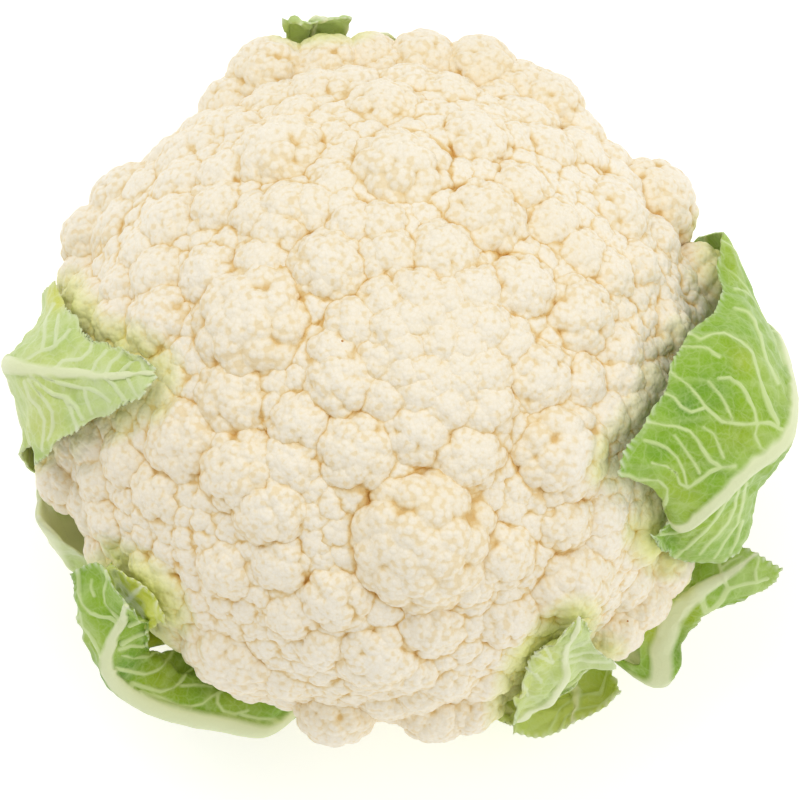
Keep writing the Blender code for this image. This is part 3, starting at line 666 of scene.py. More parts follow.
def spirals_on(cloud, child, size, seed):
    """The child cloud laid on every point of cloud, facing outwards, each turned by its own chance."""
    tree = cloud.tree
    place = read(tree, "GeometryNodeInputPosition")
    facing = read(tree, "FunctionNodeAlignRotationToVector", {"Vector": place}, axis="Z")
    spin = read(tree, "ShaderNodeCombineXYZ", {2: by_chance(tree, seed, "Value") * (2 * math.pi)})
    spin = read(tree, "FunctionNodeEulerToRotation", {"Euler": spin})
    facing = read(tree, "FunctionNodeRotateRotation", {"Rotation": facing, "Rotate By": spin},
                  rotation_space="LOCAL")
    laid = read(tree, "GeometryNodeInstanceOnPoints", {
        "Points": cloud, "Instance": child, "Rotation": facing, "Scale": in_all_directions(size),
    })
    return read(tree, "GeometryNodeRealizeInstances", {"Geometry": laid})


def raised_over(skin, cloud, reach, height, name):
    """The skin raised into a round bump over each point of cloud, the crease between bumps kept under name.

    height is the bump's height over its reach.
    """
    near = read(skin.tree, "GeometryNodeProximity", {0: cloud}, "Distance", target_element="POINTS")
    off = near / reach
    rise = number("MAXIMUM", 1.0 - off * off, 0.0)
    normal = read(skin.tree, "GeometryNodeInputNormal")
    offset = vector("SCALE", normal, scale=rise * (reach * height))
    return moved(noted(skin, name, 1.0 - rise), Offset=offset)


def floret_tree():
    """The node tree of a floret round the origin, with its crown towards +Z and its branch towards -Z."""
    tree = bpy.data.node_groups.new("floret", "GeometryNodeTree")
    tree.interface.new_socket("Geometry", in_out="OUTPUT", socket_type="NodeSocketGeometry")
    names = {
        "Skin points": 800, "Lumps": 12, "Buds on a lump": 12,
        "Radius": 10.0, "Front angle": 1.4, "Lump reach": 4.0, "Bud reach": 1.8, "Stem": 20.0, "Seed": 1.0,
    }
    for name, value in names.items():
        kind = "NodeSocketInt" if isinstance(value, int) else "NodeSocketFloat"
        tree.interface.new_socket(name, in_out="INPUT", socket_type=kind).default_value = value
    given = tree.nodes.new("NodeGroupInput")
    skin_points, lump_count, bud_count, radius, front_angle, lump_reach, bud_reach, stem, seed = (
        Value(tree, given.outputs[name]) for name in names)

    # The skin: most of its points within the front angle, the rest thinly over the back
    front_area = (1.0 - number("COSINE", front_angle)) * 0.5
    back_area = 1.0 - front_area
    index = read(tree, "GeometryNodeInputIndex")
    share = (index + 0.5) / skin_points
    area = ramp(share, 0.0, FRONT_POINTS, 0.0, front_area) + ramp(share, FRONT_POINTS, 1.0, 0.0, back_area)
    polar = number("ARCCOSINE", 1.0 - area * 2.0)
    cloud = ball_points(tree, skin_points, polar, index * GOLDEN_ANGLE)
    skin = read(tree, "GeometryNodeConvexHull", {"Geometry": cloud})
    place = read(tree, "GeometryNodeInputPosition")
    skin = noted(skin, "way", vector("NORMALIZE", place), "FLOAT_VECTOR")
    way = read(tree, "GeometryNodeInputNamedAttribute", {"Name": "way"}, data_type="FLOAT_VECTOR")

    # Lumps: balls on a spiral just inside the floret's radius, to which the skin is carried out. The clefts
    # between them go no deeper than a third of their reach, and a slow wobble makes no two florets alike
    lumps = shaken(spiral_points(tree, lump_count, LUMP_CAP, 0.66, seed), LUMP_SHAKE, seed)
    lumps = moved(lumps, Position=vector("NORMALIZE", read(tree, "GeometryNodeInputPosition")))
    inner = radius - lump_reach * 0.92
    lumps = read(tree, "GeometryNodeTransform", {"Geometry": lumps, "Scale": in_all_directions(inner)})
    middle = read(tree, "GeometryNodeProximity", {
        0: lumps, "Sample Position": vector("SCALE", way, scale=inner),
    }, "Position", target_element="POINTS")
    along = vector("DOT_PRODUCT", way, middle, out="Value")
    size = vector("DOT_PRODUCT", middle, middle, out="Value")
    inside = lump_reach * lump_reach - (size - along * along)
    out = along + number("SQRT", number("MAXIMUM", inside, 0.0))
    out = number("MAXIMUM", out, radius - lump_reach * 0.33)
    crease = (radius * 1.02 - out) / (lump_reach * 0.35)
    wobble = read(tree, "ShaderNodeTexNoise", {"Vector": way, "W": seed, "Scale": 1.3, "Detail": 1.0},
                  noise_dimensions="4D") - 0.5
    out = out + wobble * (radius * 0.14)
    skin = moved(noted(skin, "lump_crease", crease), Position=vector("SCALE", way, scale=out))

    # Buds on every lump
    bud_cap = spiral_points(tree, bud_count, BUD_CAP, 0.5, 0.0)
    buds = spirals_on(lumps, bud_cap, lump_reach * 0.97, seed)
    buds = shaken(buds, bud_reach * BUD_SHAKE, seed + 40.0)
    skin = raised_over(skin, buds, bud_reach, BUD_HEIGHT, "bud_crease")

    # The back drawn out into its branch: it narrows to a neck and closes at its far end
    polar = number("ARCCOSINE", read(tree, "ShaderNodeSeparateXYZ", {0: way}, 2))
    past = ramp(polar, BACK_ANGLE, math.pi, 0.0, 1.0)
    flat = vector("MULTIPLY", read(tree, "GeometryNodeInputPosition"), (1.0, 1.0, 0.0))
    neck = ramp(past, 0.0, 0.35, 1.0, 0.0, interpolation_type="SMOOTHSTEP")
    thin = radius * 0.34 * ramp(past, 0.93, 1.0, 1.0, 0.0)
    wide = vector("LENGTH", flat, out="Value") * neck + thin * (1.0 - neck)
    down = ramp(past, 0.0, 0.93, radius * math.cos(BACK_ANGLE), stem * -1.0)
    drawn = vector("SCALE", vector("NORMALIZE", flat), scale=wide)
    drawn = vector("ADD", drawn, read(tree, "ShaderNodeCombineXYZ", {2: down}))
    skin = moved(skin, Selection=number("GREATER_THAN", past, 0.0), Position=drawn)
    tree.links.new(skin.socket, tree.nodes.new("NodeGroupOutput").inputs[0])
    return tree


tree = floret_tree()
print("floret tree", len(tree.nodes), "nodes")

# %% [markdown]
# ## Growing every floret
# The tree runs once for each floret on one helper object. Large florets get lumps in proportion, so that the
# head shows big, middling and small domes. Each floret is a wider ball than the CAD model's, with the same
# front, so that neighbours press together in narrow clefts. Its skin's points follow the area that no
# neighbour covers, closer together on the side towards the eye than round the back. The result is turned to
# stand on its branch, and each point learns how near a neighbour is: where two florets press together the
# flesh is painted in shade and warm colour, and what lies inside a neighbour is buried.

# %% Grow the florets
def grown(maker, sockets, values):
    """The floret tree's mesh for these socket values, as points, triangles and its stored values."""
    modifier = maker.modifiers["grow"]
    for name, value in values.items():
        modifier[sockets[name]] = value
    maker.update_tag()
    graph = bpy.context.evaluated_depsgraph_get()
    mesh = bpy.data.meshes.new_from_object(maker.evaluated_get(graph))
    points = np.empty(3 * len(mesh.vertices), np.float32)
    mesh.vertices.foreach_get("co", points)
    mesh.calc_loop_triangles()
    triangles = np.empty(3 * len(mesh.loop_triangles), np.int32)
    mesh.loop_triangles.foreach_get("vertices", triangles)
    kept = {}
    for name in ("lump_crease", "bud_crease"):
        data = np.empty(len(mesh.vertices), np.float32)
        mesh.attributes[name].data.foreach_get("value", data)
        kept[name] = data
    bpy.data.meshes.remove(mesh)
    return points.reshape(-1, 3).astype(float), triangles.reshape(-1, 3), kept


# How far apart lumps and buds lie, how far each reaches out of that, and how many there are for an area
LUMP_APART_PER_RADIUS = 0.42
LEAST_LUMP_APART = 5.0
BUD_APART_PER_LUMP = 0.34
BUD_APART_RANGE = (1.95, 2.4)
LUMP_REACH = 0.70
BUD_REACH = 0.68
LUMPS_PER_AREA = 9.9
BUDS_PER_AREA = 3.4


def floret_values(radius, points, angle, seed, stem):
    """Socket values for a floret of that radius: how far apart its bumps are sets how many it has."""
    lump_apart = max(LEAST_LUMP_APART, LUMP_APART_PER_RADIUS * radius)
    bud_apart = float(np.clip(BUD_APART_PER_LUMP * lump_apart, *BUD_APART_RANGE))
    lump_reach = LUMP_REACH * lump_apart
    bud_reach = BUD_REACH * bud_apart
    return {
        "Skin points": points, "Front angle": angle, "Radius": radius, "Stem": stem, "Seed": float(seed),
        "Lump reach": lump_reach, "Bud reach": bud_reach,
        "Lumps": max(8, round(LUMPS_PER_AREA * (radius / lump_apart) ** 2)),
        "Buds on a lump": max(6, round(BUDS_PER_AREA * (lump_reach / bud_apart) ** 2)),
    }


maker = linked("floret maker", bpy.data.meshes.new("floret maker"))
grow = maker.modifiers.new("grow", "NODES")
grow.node_group = tree
sockets = {item.name: item.identifier for item in tree.interface.items_tree if item.in_out == "INPUT"}

# How closely the skin's points lie towards the eye and at the back
POINTS_PER_MM2 = 3.1
BACK_POINTS_PER_MM2 = 0.8
# What a floret's radius, squared, gains in mm2, so that its flanks press into its neighbours
PRESSED = 65.0
# The front angle's range in radians, and the least share of its front that a floret has to show
NARROWEST_FRONT = 0.5
WIDEST_FRONT = 1.4
LEAST_SHOWN = 0.04
florets = []
for middle, radius in balls:
    axis = middle - BRANCHES_MEET
    axis = axis / np.linalg.norm(axis)
    wide = math.sqrt(radius**2 + PRESSED)
    florets.append((middle - axis * (wide - radius), wide, axis))
middles = np.array([middle for middle, radius, axis in florets])
radii = np.array([radius for middle, radius, axis in florets])
pieces = []
for number_of, (middle, radius, axis) in enumerate(florets):
    others = np.nonzero(np.linalg.norm(middles - middle, axis=1) < radii + radius + 3)[0]
    others = others[others != number_of]
    skin = middle + radius * spiral_cap(axis, 120, math.radians(80))
    depth = (np.linalg.norm(skin[:, None] - middles[others], axis=2) - radii[others]).min(axis=1)
    if (depth > -0.5).mean() < LEAST_SHOWN:
        continue
    widest = np.arccos(((skin - middle) @ axis)[depth > -0.8] / radius).max()
    angle = min(max(widest + 0.1, NARROWEST_FRONT), WIDEST_FRONT)
    length = np.linalg.norm(middle - BRANCHES_MEET)
    facing = (middle + axis * radius - HEAD_MIDDLE).dot(TOWARDS_EYE)
    density = np.interp(facing, (-25, 5), (BACK_POINTS_PER_MM2, POINTS_PER_MM2))
    front_area = 2 * math.pi * radius**2 * (1 - math.cos(angle))
    count = max(200, round(density * front_area / FRONT_POINTS))
    values = floret_values(radius, count, angle, 3 * number_of + 1, max(1.2 * radius, 0.72 * length))
    points, triangles, kept = grown(maker, sockets, values)
    points = points @ turned_to(axis).T + middle
    near = np.full(len(points), 9.0)
    for other in others:
        near = np.minimum(near, np.linalg.norm(points - middles[other], axis=1) - radii[other])
    kept["buried"] = np.clip((-near - 0.5) / 1.1, 0, 1)
    # Painted shade: the colour deepens in the clefts, most where they lie below the dome, and a little down
    # each flank
    level = np.linalg.norm((points - HEAD_MIDDLE) / DOME_AXES, axis=1)
    gap = np.clip(1 - near / (0.3 + 0.045 * radius), 0, 1) * np.clip(0.4 + (0.99 - level) * 9, 0.2, 1)
    up = (points - middle) @ axis / np.maximum(np.linalg.norm(points - middle, axis=1), 1e-6)
    flank = np.clip(np.arccos(np.clip(up, -1, 1)) / 1.1, 0, 1)
    kept["gap"] = np.sqrt(gap**2 + 0.04 * flank**2)
    pieces.append((points, triangles, kept))
bpy.data.objects.remove(maker)
print(len(pieces), "florets,", sum(len(piece[1]) for piece in pieces), "triangles", flush=True)

# %% [markdown]
# ## Where each leaf runs
# A leaf of this plant leaves the stalk as a thick pale petiole, passes out under the curd and rises beside
# it. The same rows of places as in the CAD model carry it: the hidden start by a rule, the seen part as read
# off the photograph, from one margin over the midrib to the other. Repeating them keeps leaf and frame
# together.

# %% Rows of the leaves
def stalk_radius(turn, height):
    """The stalk's radius at a compass angle in radians and a height: it widens upwards and has low ribs."""
    share = height / STALK_HEIGHT
    ribs = 0.8 * math.cos(5 * turn) + 0.5 * math.cos(8 * turn + 1)
    widening = (STALK_TOP_RADIUS - STALK_RADIUS) * share**1.6
    return STALK_RADIUS + widening + ribs * (0.4 + 0.6 * math.sin(math.pi * share))


def under_curd(tier):
    """How high a leaf that leaves the stalk at height tier has risen most of the way out under the curd."""
    return 20 + 0.55 * tier


def base_rows(angle, tier, half_width):
    """The hidden start of a leaf: from the stalk's side, out under the curd, in three rows of five points.

    tier is the height in mm at which it leaves the stalk. A negative half_width runs the rows the other way.
    Each row is given by how far out it lies, its height and its share of the half width.
    """
    start = stalk_radius(math.radians(angle), tier)
    rows = []
    for out, height, spread in ((0, tier, 0.5), (15, 4 + 0.9 * tier, 0.7), (37, under_curd(tier), 1.1)):
        row = []
        for share in ACROSS_A_ROW:
            turn = angle + math.degrees(share * half_width * spread / (start + out))
            radius = start + out
            if out == 0:
                radius = stalk_radius(math.radians(turn), tier + LEAF_FOOT_HALF) + LEAF_FOOT_GAP
            row.append(round_stalk(turn, radius, height + 0.04 * out * share**2))
        rows.append(row)
    return rows


def leaf_rows(base, flank, seen):
    """A leaf's rows of points: its base, one against the head's side where it has that, and those seen.

    base is what base_rows takes. flank is a distance from the stalk's axis, with the compass angles and
    heights of the row. seen has rows of (pixel across, pixel down, height above the table).
    """
    rows = base_rows(*base)
    if flank:
        radius, places = flank
        rows.append([round_stalk(turn, radius, height) for turn, height in places])
    return rows + [[at_height(*place) for place in row] for row in seen]


def trimmed_base(angle, tier, reach, top, half_width):
    """Rows for a leaf that was cut short: it passes out under the curd and ends at a straight cut."""
    rows = base_rows(angle, tier, half_width)
    below = (under_curd(tier) + top) / 2
    for radius, height, spread in ((reach - 8, below, 1.2), (reach, top, 1.35)):
        row = []
        for share in ACROSS_A_ROW:
            turn = angle + math.degrees(share * half_width * spread / radius)
            row.append(round_stalk(turn, radius - 2 * share**2, height + 4 * share**2))
        rows.append(row)
    return rows


LEAF_ROWS = {
    # The big leaf on the right: it rises beside the curd, and its outer half folds over the curd
    "leaf_right": leaf_rows((8, 13, -9), (88, ((28, 46), (20, 43), (12, 41), (5, 41), (-1, 43))), [
        [(703, 240, 66), (735, 275, 66), (768, 335, 60), (775, 362, 55), (770, 392, 51)],
        [(712, 262, 80), (748, 300, 82), (785, 370, 78), (790, 395, 68), (775, 420, 56)],
        [(722, 300, 92), (752, 330, 94), (791, 408, 90), (790, 440, 76), (768, 470, 60)],
        [(684, 340, 104), (730, 370, 106), (783, 440, 98), (772, 468, 82), (748, 500, 62)],
        [(660, 395, 110), (706, 418, 108), (745, 472, 100), (740, 500, 86), (745, 545, 66)],
        [(640, 435, 112), (672, 455, 108), (712, 505, 96), (712, 530, 84), (708, 563, 68)],
        [(621, 468, 110), (648, 478, 106), (684, 526, 90), (680, 540, 82), (668, 553, 72)],
        [(630, 478, 106), (655, 490, 100), (666, 515, 88), (650, 530, 82), (632, 525, 80)],
    ]),
    # The pale leaf on the left: its midrib bends sharply at the side and its tip lies over the curd
    "leaf_left": leaf_rows((180, 13, 9), (88, ((164, 46), (171, 43), (179, 42), (186, 43), (192, 47))), [
        [(66, 298, 66), (30, 335, 70), (11, 368, 72), (20, 405, 70), (32, 450, 64)],
        [(62, 286, 80), (34, 338, 86), (12, 366, 88), (24, 398, 86), (30, 445, 78)],
        [(68, 313, 92), (52, 335, 94), (38, 371, 95), (42, 410, 93), (38, 464, 84)],
        [(94, 339, 100), (82, 350, 101), (75, 374, 102), (72, 398, 100), (66, 438, 95)],
        [(127, 351, 107), (120, 358, 108), (110, 377, 108), (108, 392, 107), (108, 414, 104)],
        [(150, 361, 115), (154, 366, 115), (156, 373, 115), (154, 381, 115), (145, 396, 113)],
    ]),
    # A trimmed leaf at the lower left: only its thick pale base shows past the curd
    "leaf_base_left": leaf_rows((206, 5, 8), (86, ((197, 38), (200, 36), (203, 34), (207, 34), (211, 36))), [
        [(45, 472, 50), (41, 492, 52), (38, 517, 54), (62, 539, 50), (94, 562, 44)],
    ]),
    # The large leaf that cups the lower left: its midrib sweeps round the head and turns in at the tip
    "leaf_front_left": leaf_rows((256, 12, -7), None, [
        [(288, 722, 26), (284, 724, 29), (276, 722, 33), (284, 708, 36), (298, 694, 37)],
        [(234, 722, 26), (225, 729, 33), (221, 722, 39), (240, 700, 40), (262, 680, 38)],
        [(170, 712, 32), (160, 716, 40), (165, 710, 45), (196, 684, 42), (228, 662, 36)],
        [(125, 697, 42), (119, 695, 48), (126, 691, 52), (164, 666, 47), (205, 642, 37)],
        [(94, 657, 54), (98, 665, 58), (108, 668, 61), (142, 656, 55), (184, 636, 40)],
        [(81, 625, 64), (96, 632, 67), (111, 643, 67), (136, 640, 64), (168, 632, 50)],
        [(76, 598, 70), (97, 606, 73), (122, 622, 73), (140, 619, 72), (158, 620, 64)],
        [(69, 575, 74), (104, 562, 78), (134, 600, 78), (140, 604, 77), (146, 608, 75)],
    ]),
    # The small yellow-green leaf between the large one and the curd
    "leaf_young": leaf_rows((226, 12, 7), (86, ((213, 44), (217, 43), (220, 42), (223, 43), (226, 44))), [
        [(112, 574, 58), (124, 584, 60), (138, 594, 60), (150, 604, 58), (160, 614, 55)],
        [(112, 562, 72), (128, 570, 80), (148, 582, 83), (164, 596, 80), (176, 612, 72)],
    ]),
    # The pale inner leaf at the lower right, with its pointed tip against the curd
    "leaf_front_inner": leaf_rows((284, 13, 7), None, [
        [(492, 716, 40), (500, 717, 38), (510, 716, 36), (520, 714, 36), (530, 710, 38)],
        [(503, 692, 52), (515, 698, 49), (530, 699, 46), (540, 697, 46), (552, 690, 48)],
        [(508, 675, 60), (528, 682, 57), (547, 681, 54), (558, 677, 54), (572, 668, 56)],
        [(520, 657, 68), (540, 662, 66), (559, 662, 63), (580, 663, 63), (618, 668, 62)],
        [(538, 637, 75), (550, 642, 75), (561, 642, 73), (576, 642, 73), (598, 650, 71)],
        [(556, 616, 82), (562, 612, 83), (569, 607, 84), (577, 614, 83), (585, 626, 80)],
    ]),
    # The bright outer leaf at the lower right, torn off in a ragged line
    "leaf_front_outer": leaf_rows((299, 4, 8), None, [
        [(530, 690, 20), (548, 690, 17), (568, 682, 16), (586, 674, 17), (600, 662, 19)],
        [(516, 712, 26), (545, 712, 22), (576, 702, 20), (600, 692, 20), (614, 674, 22)],
        [(514, 732, 32), (542, 737, 27), (572, 723, 25), (598, 712, 26), (622, 688, 27)],
    ]),
    # The ruffled leaf at the lower right, on its thick pale petiole
    "leaf_right_low": leaf_rows((317, 9, -8), None, [
        [(670, 662, 32), (662, 674, 30), (651, 680, 28), (641, 677, 29), (630, 664, 31)],
        [(682, 640, 39), (675, 648, 37), (662, 650, 36), (649, 644, 36), (637, 634, 37)],
        [(698, 622, 44), (688, 622, 44), (674, 616, 44), (659, 606, 43), (644, 594, 42)],
        [(714, 612, 46), (706, 606, 49), (694, 596, 51), (679, 584, 50), (666, 572, 48)],
        [(738, 600, 46), (727, 595, 49), (711, 584, 52), (698, 568, 51), (688, 554, 49)],
        [(769, 589, 46), (753, 583, 50), (732, 572, 53), (716, 558, 52), (704, 546, 50)],
        [(783, 570, 48), (772, 563, 51), (756, 553, 53), (740, 546, 53), (725, 540, 52)],
    ]),
    # The leaf behind the head, whose tip shows at the top left
    "leaf_back": leaf_rows((106, 12, 9), (88, ((95, 46), (101, 43), (107, 42), (113, 43), (119, 46))), [
        [(350, 46, 66), (330, 44, 66), (310, 46, 66), (292, 50, 65), (277, 57, 62)],
        [(352, 33, 76), (345, 22, 80), (328, 30, 80), (305, 36, 76), (290, 46, 70)],
    ]),
    # The pale leaf behind the head at the top, cut short
    "leaf_back_small": leaf_rows((78, 4, 6), (88, ((79, 42), (82, 40), (85, 39), (88, 40), (91, 42))), [
        [(398, 41, 64), (391, 35, 67), (384, 33, 68), (377, 35, 67), (371, 41, 64)],
    ]),
    # Two trimmed leaf bases at the back, which stay under the curd
    "leaf_base_back_right": trimmed_base(44, 5, 82, 38, 15),
    "leaf_base_back_left": trimmed_base(146, 5, 80, 37, 15),
}

# %% [markdown]
# ## Veins and tints as read
# Cabbage-like leaves have a broad midrib, side veins that leave it in wide curves, and a net between them.
# The main veins were followed on the photograph, since their sweep is what makes each leaf known.
# Each is given by the side of the midrib it lies on (0 where it may cross), its half width at the start and
# the end, and the pixels that it passes. Tints are given the same way: a pixel, how many pixels the tint
# reaches, and how much darker and how much yellower the blade is there. A tint that lightens a leaf lifts a
# part that lies in shade, which is painted light; one that darkens it is partly the blade's own colour and
# partly painted shade.

# %% Veins and tints
VEINS = {
    "leaf_right": [
        (0, 2.6, 1.0, [(779, 430), (770, 424), (757, 424), (745, 425), (722, 422), (712, 414), (706, 408),
                       (692, 413), (682, 408), (674, 399), (662, 393)]),
        (0, 1.8, 1.0, [(757, 424), (755, 435), (760, 448)]),
        (-1, 1.4, 0.7, [(706, 408), (698, 397), (690, 388), (681, 381), (667, 370)]),
        (0, 2.2, 1.0, [(757, 426), (754, 412), (748, 396), (740, 385), (730, 378), (719, 379)]),
        (0, 2.4, 0.8, [(777, 424), (768, 402), (758, 378), (752, 354), (740, 343), (724, 335), (712, 337),
                       (700, 341), (688, 333)]),
        (-1, 1.3, 0.7, [(720, 359), (709, 350), (694, 348), (680, 345)]),
        (0, 1.6, 0.7, [(777, 385), (766, 361), (760, 337), (754, 322), (746, 314), (735, 309)]),
        (0, 1.5, 0.7, [(783, 365), (772, 335), (758, 305), (744, 292), (734, 290)]),
        (0, 2.6, 1.0, [(735, 466), (722, 467), (711, 461), (703, 450), (698, 441), (690, 432), (676, 427),
                       (664, 426), (648, 422)]),
        (0, 2.2, 1.2, [(722, 467), (710, 472), (699, 481), (688, 487), (680, 483), (676, 473), (666, 466),
                       (652, 463)]),
        (-1, 1.4, 0.7, [(687, 485), (684, 472), (677, 458), (668, 449), (657, 444), (645, 441)]),
        (-1, 1.2, 0.6, [(700, 473), (691, 458), (682, 446), (675, 436)]),
        (-1, 2.0, 0.8, [(664, 510), (667, 499), (668, 488), (658, 479), (640, 479), (621, 471)]),
        (-1, 1.2, 0.6, [(724, 458), (719, 446), (713, 434), (704, 428)]),
        (-1, 1.2, 0.6, [(732, 420), (726, 405), (719, 394), (709, 382)]),
        (1, 1.6, 0.6, [(722, 492), (713, 504), (704, 515), (690, 527), (676, 533), (655, 535)]),
        (1, 1.5, 0.6, [(732, 490), (722, 508), (712, 523), (700, 536), (686, 548), (676, 556)]),
        (1, 1.5, 0.6, [(738, 488), (734, 508), (727, 523), (712, 539), (700, 553)]),
        (1, 1.5, 0.6, [(746, 482), (741, 504), (736, 525), (724, 541), (714, 557)]),
        (1, 1.2, 0.6, [(742, 520), (738, 535), (730, 552)]),
    ],
    "leaf_left": [
        (-1, 1.8, 0.7, [(58, 369), (64, 362), (83, 360), (91, 352), (94, 342)]),
        (-1, 1.8, 0.7, [(30, 360), (43, 352), (57, 347), (64, 338), (70, 330)]),
        (-1, 1.4, 0.6, [(43, 352), (46, 337), (48, 318), (55, 304)]),
        (-1, 1.3, 0.6, [(57, 346), (56, 330), (60, 316)]),
        (-1, 1.4, 0.6, [(94, 372), (98, 363), (104, 357), (108, 352)]),
        (-1, 1.4, 0.6, [(108, 373), (112, 364), (120, 358), (123, 352)]),
        (-1, 1.4, 0.6, [(120, 375), (126, 368), (134, 363), (140, 360)]),
        (-1, 1.2, 0.6, [(145, 371), (143, 362)]),
        (1, 1.8, 0.7, [(46, 378), (60, 383), (77, 387), (90, 389), (101, 394), (112, 402)]),
        (1, 2.0, 0.7, [(34, 378), (44, 387), (54, 395), (65, 398), (71, 408), (76, 420), (80, 428)]),
        (1, 1.8, 0.7, [(30, 380), (40, 392), (48, 402), (54, 412), (53, 428), (50, 440)]),
        (1, 1.6, 0.7, [(26, 382), (32, 398), (40, 408), (46, 420), (45, 436), (44, 450)]),
        (1, 1.4, 0.6, [(67, 399), (78, 410), (84, 420)]),
        (1, 1.3, 0.6, [(86, 389), (88, 402), (93, 414)]),
        (1, 1.4, 0.6, [(108, 379), (116, 387), (126, 402)]),
        (1, 1.3, 0.6, [(128, 378), (134, 388), (138, 396)]),
    ],
    "leaf_front_left": [
        (-1, 2.2, 0.9, [(125, 624), (116, 615), (107, 603), (106, 592), (108, 578), (105, 567)]),
        (-1, 2.2, 0.9, [(124, 626), (110, 617), (100, 616), (92, 613), (84, 603), (79, 593), (78, 570)]),
        (-1, 2.2, 1.0, [(102, 655), (95, 642), (90, 632), (85, 626), (82, 612)]),
        (-1, 1.1, 0.6, [(95, 596), (92, 588), (93, 580)]),
        (1, 1.6, 0.8, [(130, 626), (140, 622), (148, 618)]),
        (1, 2.0, 0.9, [(122, 644), (134, 637), (147, 633), (154, 628), (158, 624)]),
        (1, 2.0, 0.9, [(119, 649), (130, 645), (142, 646), (153, 643), (162, 636), (169, 629)]),
        (1, 2.4, 0.9, [(114, 667), (126, 670), (143, 674), (155, 671), (167, 661), (173, 652), (176, 644),
                       (181, 636), (188, 632)]),
        (1, 1.2, 0.6, [(173, 652), (185, 649), (195, 652)]),
        (1, 0.9, 0.5, [(121, 654), (132, 657), (146, 657), (160, 652)]),
        (1, 2.6, 0.9, [(124, 688), (132, 683), (147, 688), (160, 692), (171, 689), (179, 683), (187, 673),
                       (200, 665)]),
        (1, 1.2, 0.6, [(180, 686), (196, 685), (212, 687)]),
        (1, 2.2, 0.8, [(140, 692), (163, 699), (177, 705), (190, 707), (202, 704), (211, 697),
                       (222, 692)]),
        (1, 2.0, 0.8, [(218, 694), (217, 703), (223, 711), (235, 714), (248, 710)]),
        (1, 1.6, 0.8, [(240, 714), (258, 718), (276, 718)]),
    ],
    "leaf_young": [
        (0, 1.0, 0.6, [(113, 570), (116, 580), (118, 593)]),
        (0, 1.3, 0.7, [(156, 604), (157, 617), (161, 625)]),
        (0, 1.0, 0.6, [(118, 580), (126, 586), (134, 596)]),
    ],
    "leaf_front_inner": [
        (0, 1.4, 0.7, [(553, 660), (546, 648), (540, 637), (534, 634)]),
        (0, 1.4, 0.7, [(553, 662), (540, 656), (530, 656), (519, 658)]),
        (0, 1.4, 0.7, [(541, 680), (535, 673), (526, 666), (514, 667)]),
        (0, 1.3, 0.7, [(528, 694), (520, 684), (510, 678)]),
        (1, 1.1, 0.5, [(561, 650), (569, 640), (580, 628)]),
        (1, 1.1, 0.5, [(560, 654), (574, 648), (590, 640)]),
        (1, 1.1, 0.5, [(560, 658), (578, 654), (600, 652)]),
        (1, 1.1, 0.5, [(561, 644), (567, 632), (574, 620)]),
        (1, 1.1, 0.5, [(558, 664), (580, 660), (612, 662)]),
    ],
    "leaf_front_outer": [
        (0, 1.6, 0.8, [(588, 660), (583, 673), (570, 686), (556, 696), (540, 706), (528, 711)]),
        (0, 1.8, 0.9, [(612, 664), (607, 677), (600, 693), (584, 696), (572, 701), (560, 710), (553, 723),
                       (547, 735)]),
        (0, 1.8, 0.9, [(620, 690), (600, 707), (580, 710), (566, 718), (560, 730)]),
        (0, 1.2, 0.6, [(556, 696), (552, 690), (553, 684)]),
    ],
    "leaf_right_low": [
        (0, 4.5, 3.4, [(661, 630), (667, 612), (678, 600), (688, 592), (696, 591), (702, 598), (705, 610),
                       (712, 610), (722, 598), (728, 588)]),
        (0, 2.2, 1.0, [(728, 588), (724, 578), (719, 563), (722, 550)]),
        (0, 2.0, 1.0, [(728, 588), (740, 584), (754, 582), (768, 579)]),
        (0, 1.4, 0.8, [(756, 582), (755, 570), (759, 557)]),
        (0, 1.3, 0.7, [(721, 570), (730, 562), (742, 557)]),
        (0, 1.2, 0.7, [(680, 618), (686, 606), (692, 602)]),
    ],
}
TINTS = {
    "leaf_base_left": [(60, 520, 70, -1.0, 0.7)],
    "leaf_back": [(315, 35, 70, -1.6, 0.35)],
    "leaf_back_small": [(380, 38, 40, -0.6, 0.3)],
    "leaf_right": [(700, 400, 42, 0.45, 0.1), (740, 440, 24, 0.3, 0.35), (690, 512, 26, 0.5, 0.5),
                   (742, 362, 14, 0.5, 0.4), (768, 345, 30, -0.5, 0.0), (735, 520, 34, -0.3, -0.1),
                   (725, 262, 26, 0.5, 0.2)],
    "leaf_left": [(60, 297, 14, 0.1, 1.2), (75, 395, 14, 0.3, 0.2), (132, 366, 26, 0.25, 0.2),
                  (45, 430, 24, 0.0, 0.3)],
    "leaf_front_left": [(190, 665, 46, 0.9, 0.3), (150, 655, 34, 0.45, 0.1), (95, 595, 34, -0.35, 0.0),
                        (235, 700, 30, 0.5, 0.5), (85, 650, 20, 0.4, 0.1)],
    "leaf_young": [(140, 590, 14, 0.2, 0.5), (160, 615, 16, -0.2, 0.5)],
    "leaf_front_inner": [(543, 650, 16, 0.2, 0.7), (515, 690, 22, 0.0, 0.6)],
    "leaf_front_outer": [(560, 715, 70, -1.0, 1.3), (600, 690, 24, 0.3, 0.1)],
    "leaf_right_low": [(690, 612, 20, 0.9, 0.4), (650, 625, 22, 0.0, 1.0), (745, 565, 34, -0.4, 0.3)],
}

# %% [markdown]
# ## Growing a leaf
# The net is the CAD model's, read at more places: its points stay clear of the curd. On it go a midrib with
# a rounded back, side veins that stand up from both faces, a blade that puckers between them, and a margin
# that is waved and cut into small teeth. A blade is a little over half a millimetre thick and closed all
# round, because a single sheet has no inside and would let the light and the export down.

# %% Leaf shapes
# In mm: between side veins, the width of the margin that teeth are cut into, and between teeth
RULED_VEINS_EVERY = 13.0
MARGIN = 1.6
TEETH_EVERY = 2.1
TIP_TEETH_EVERY = 2.3
TOOTH_GAIN = 1.6
FINE_SAMPLES = 2400


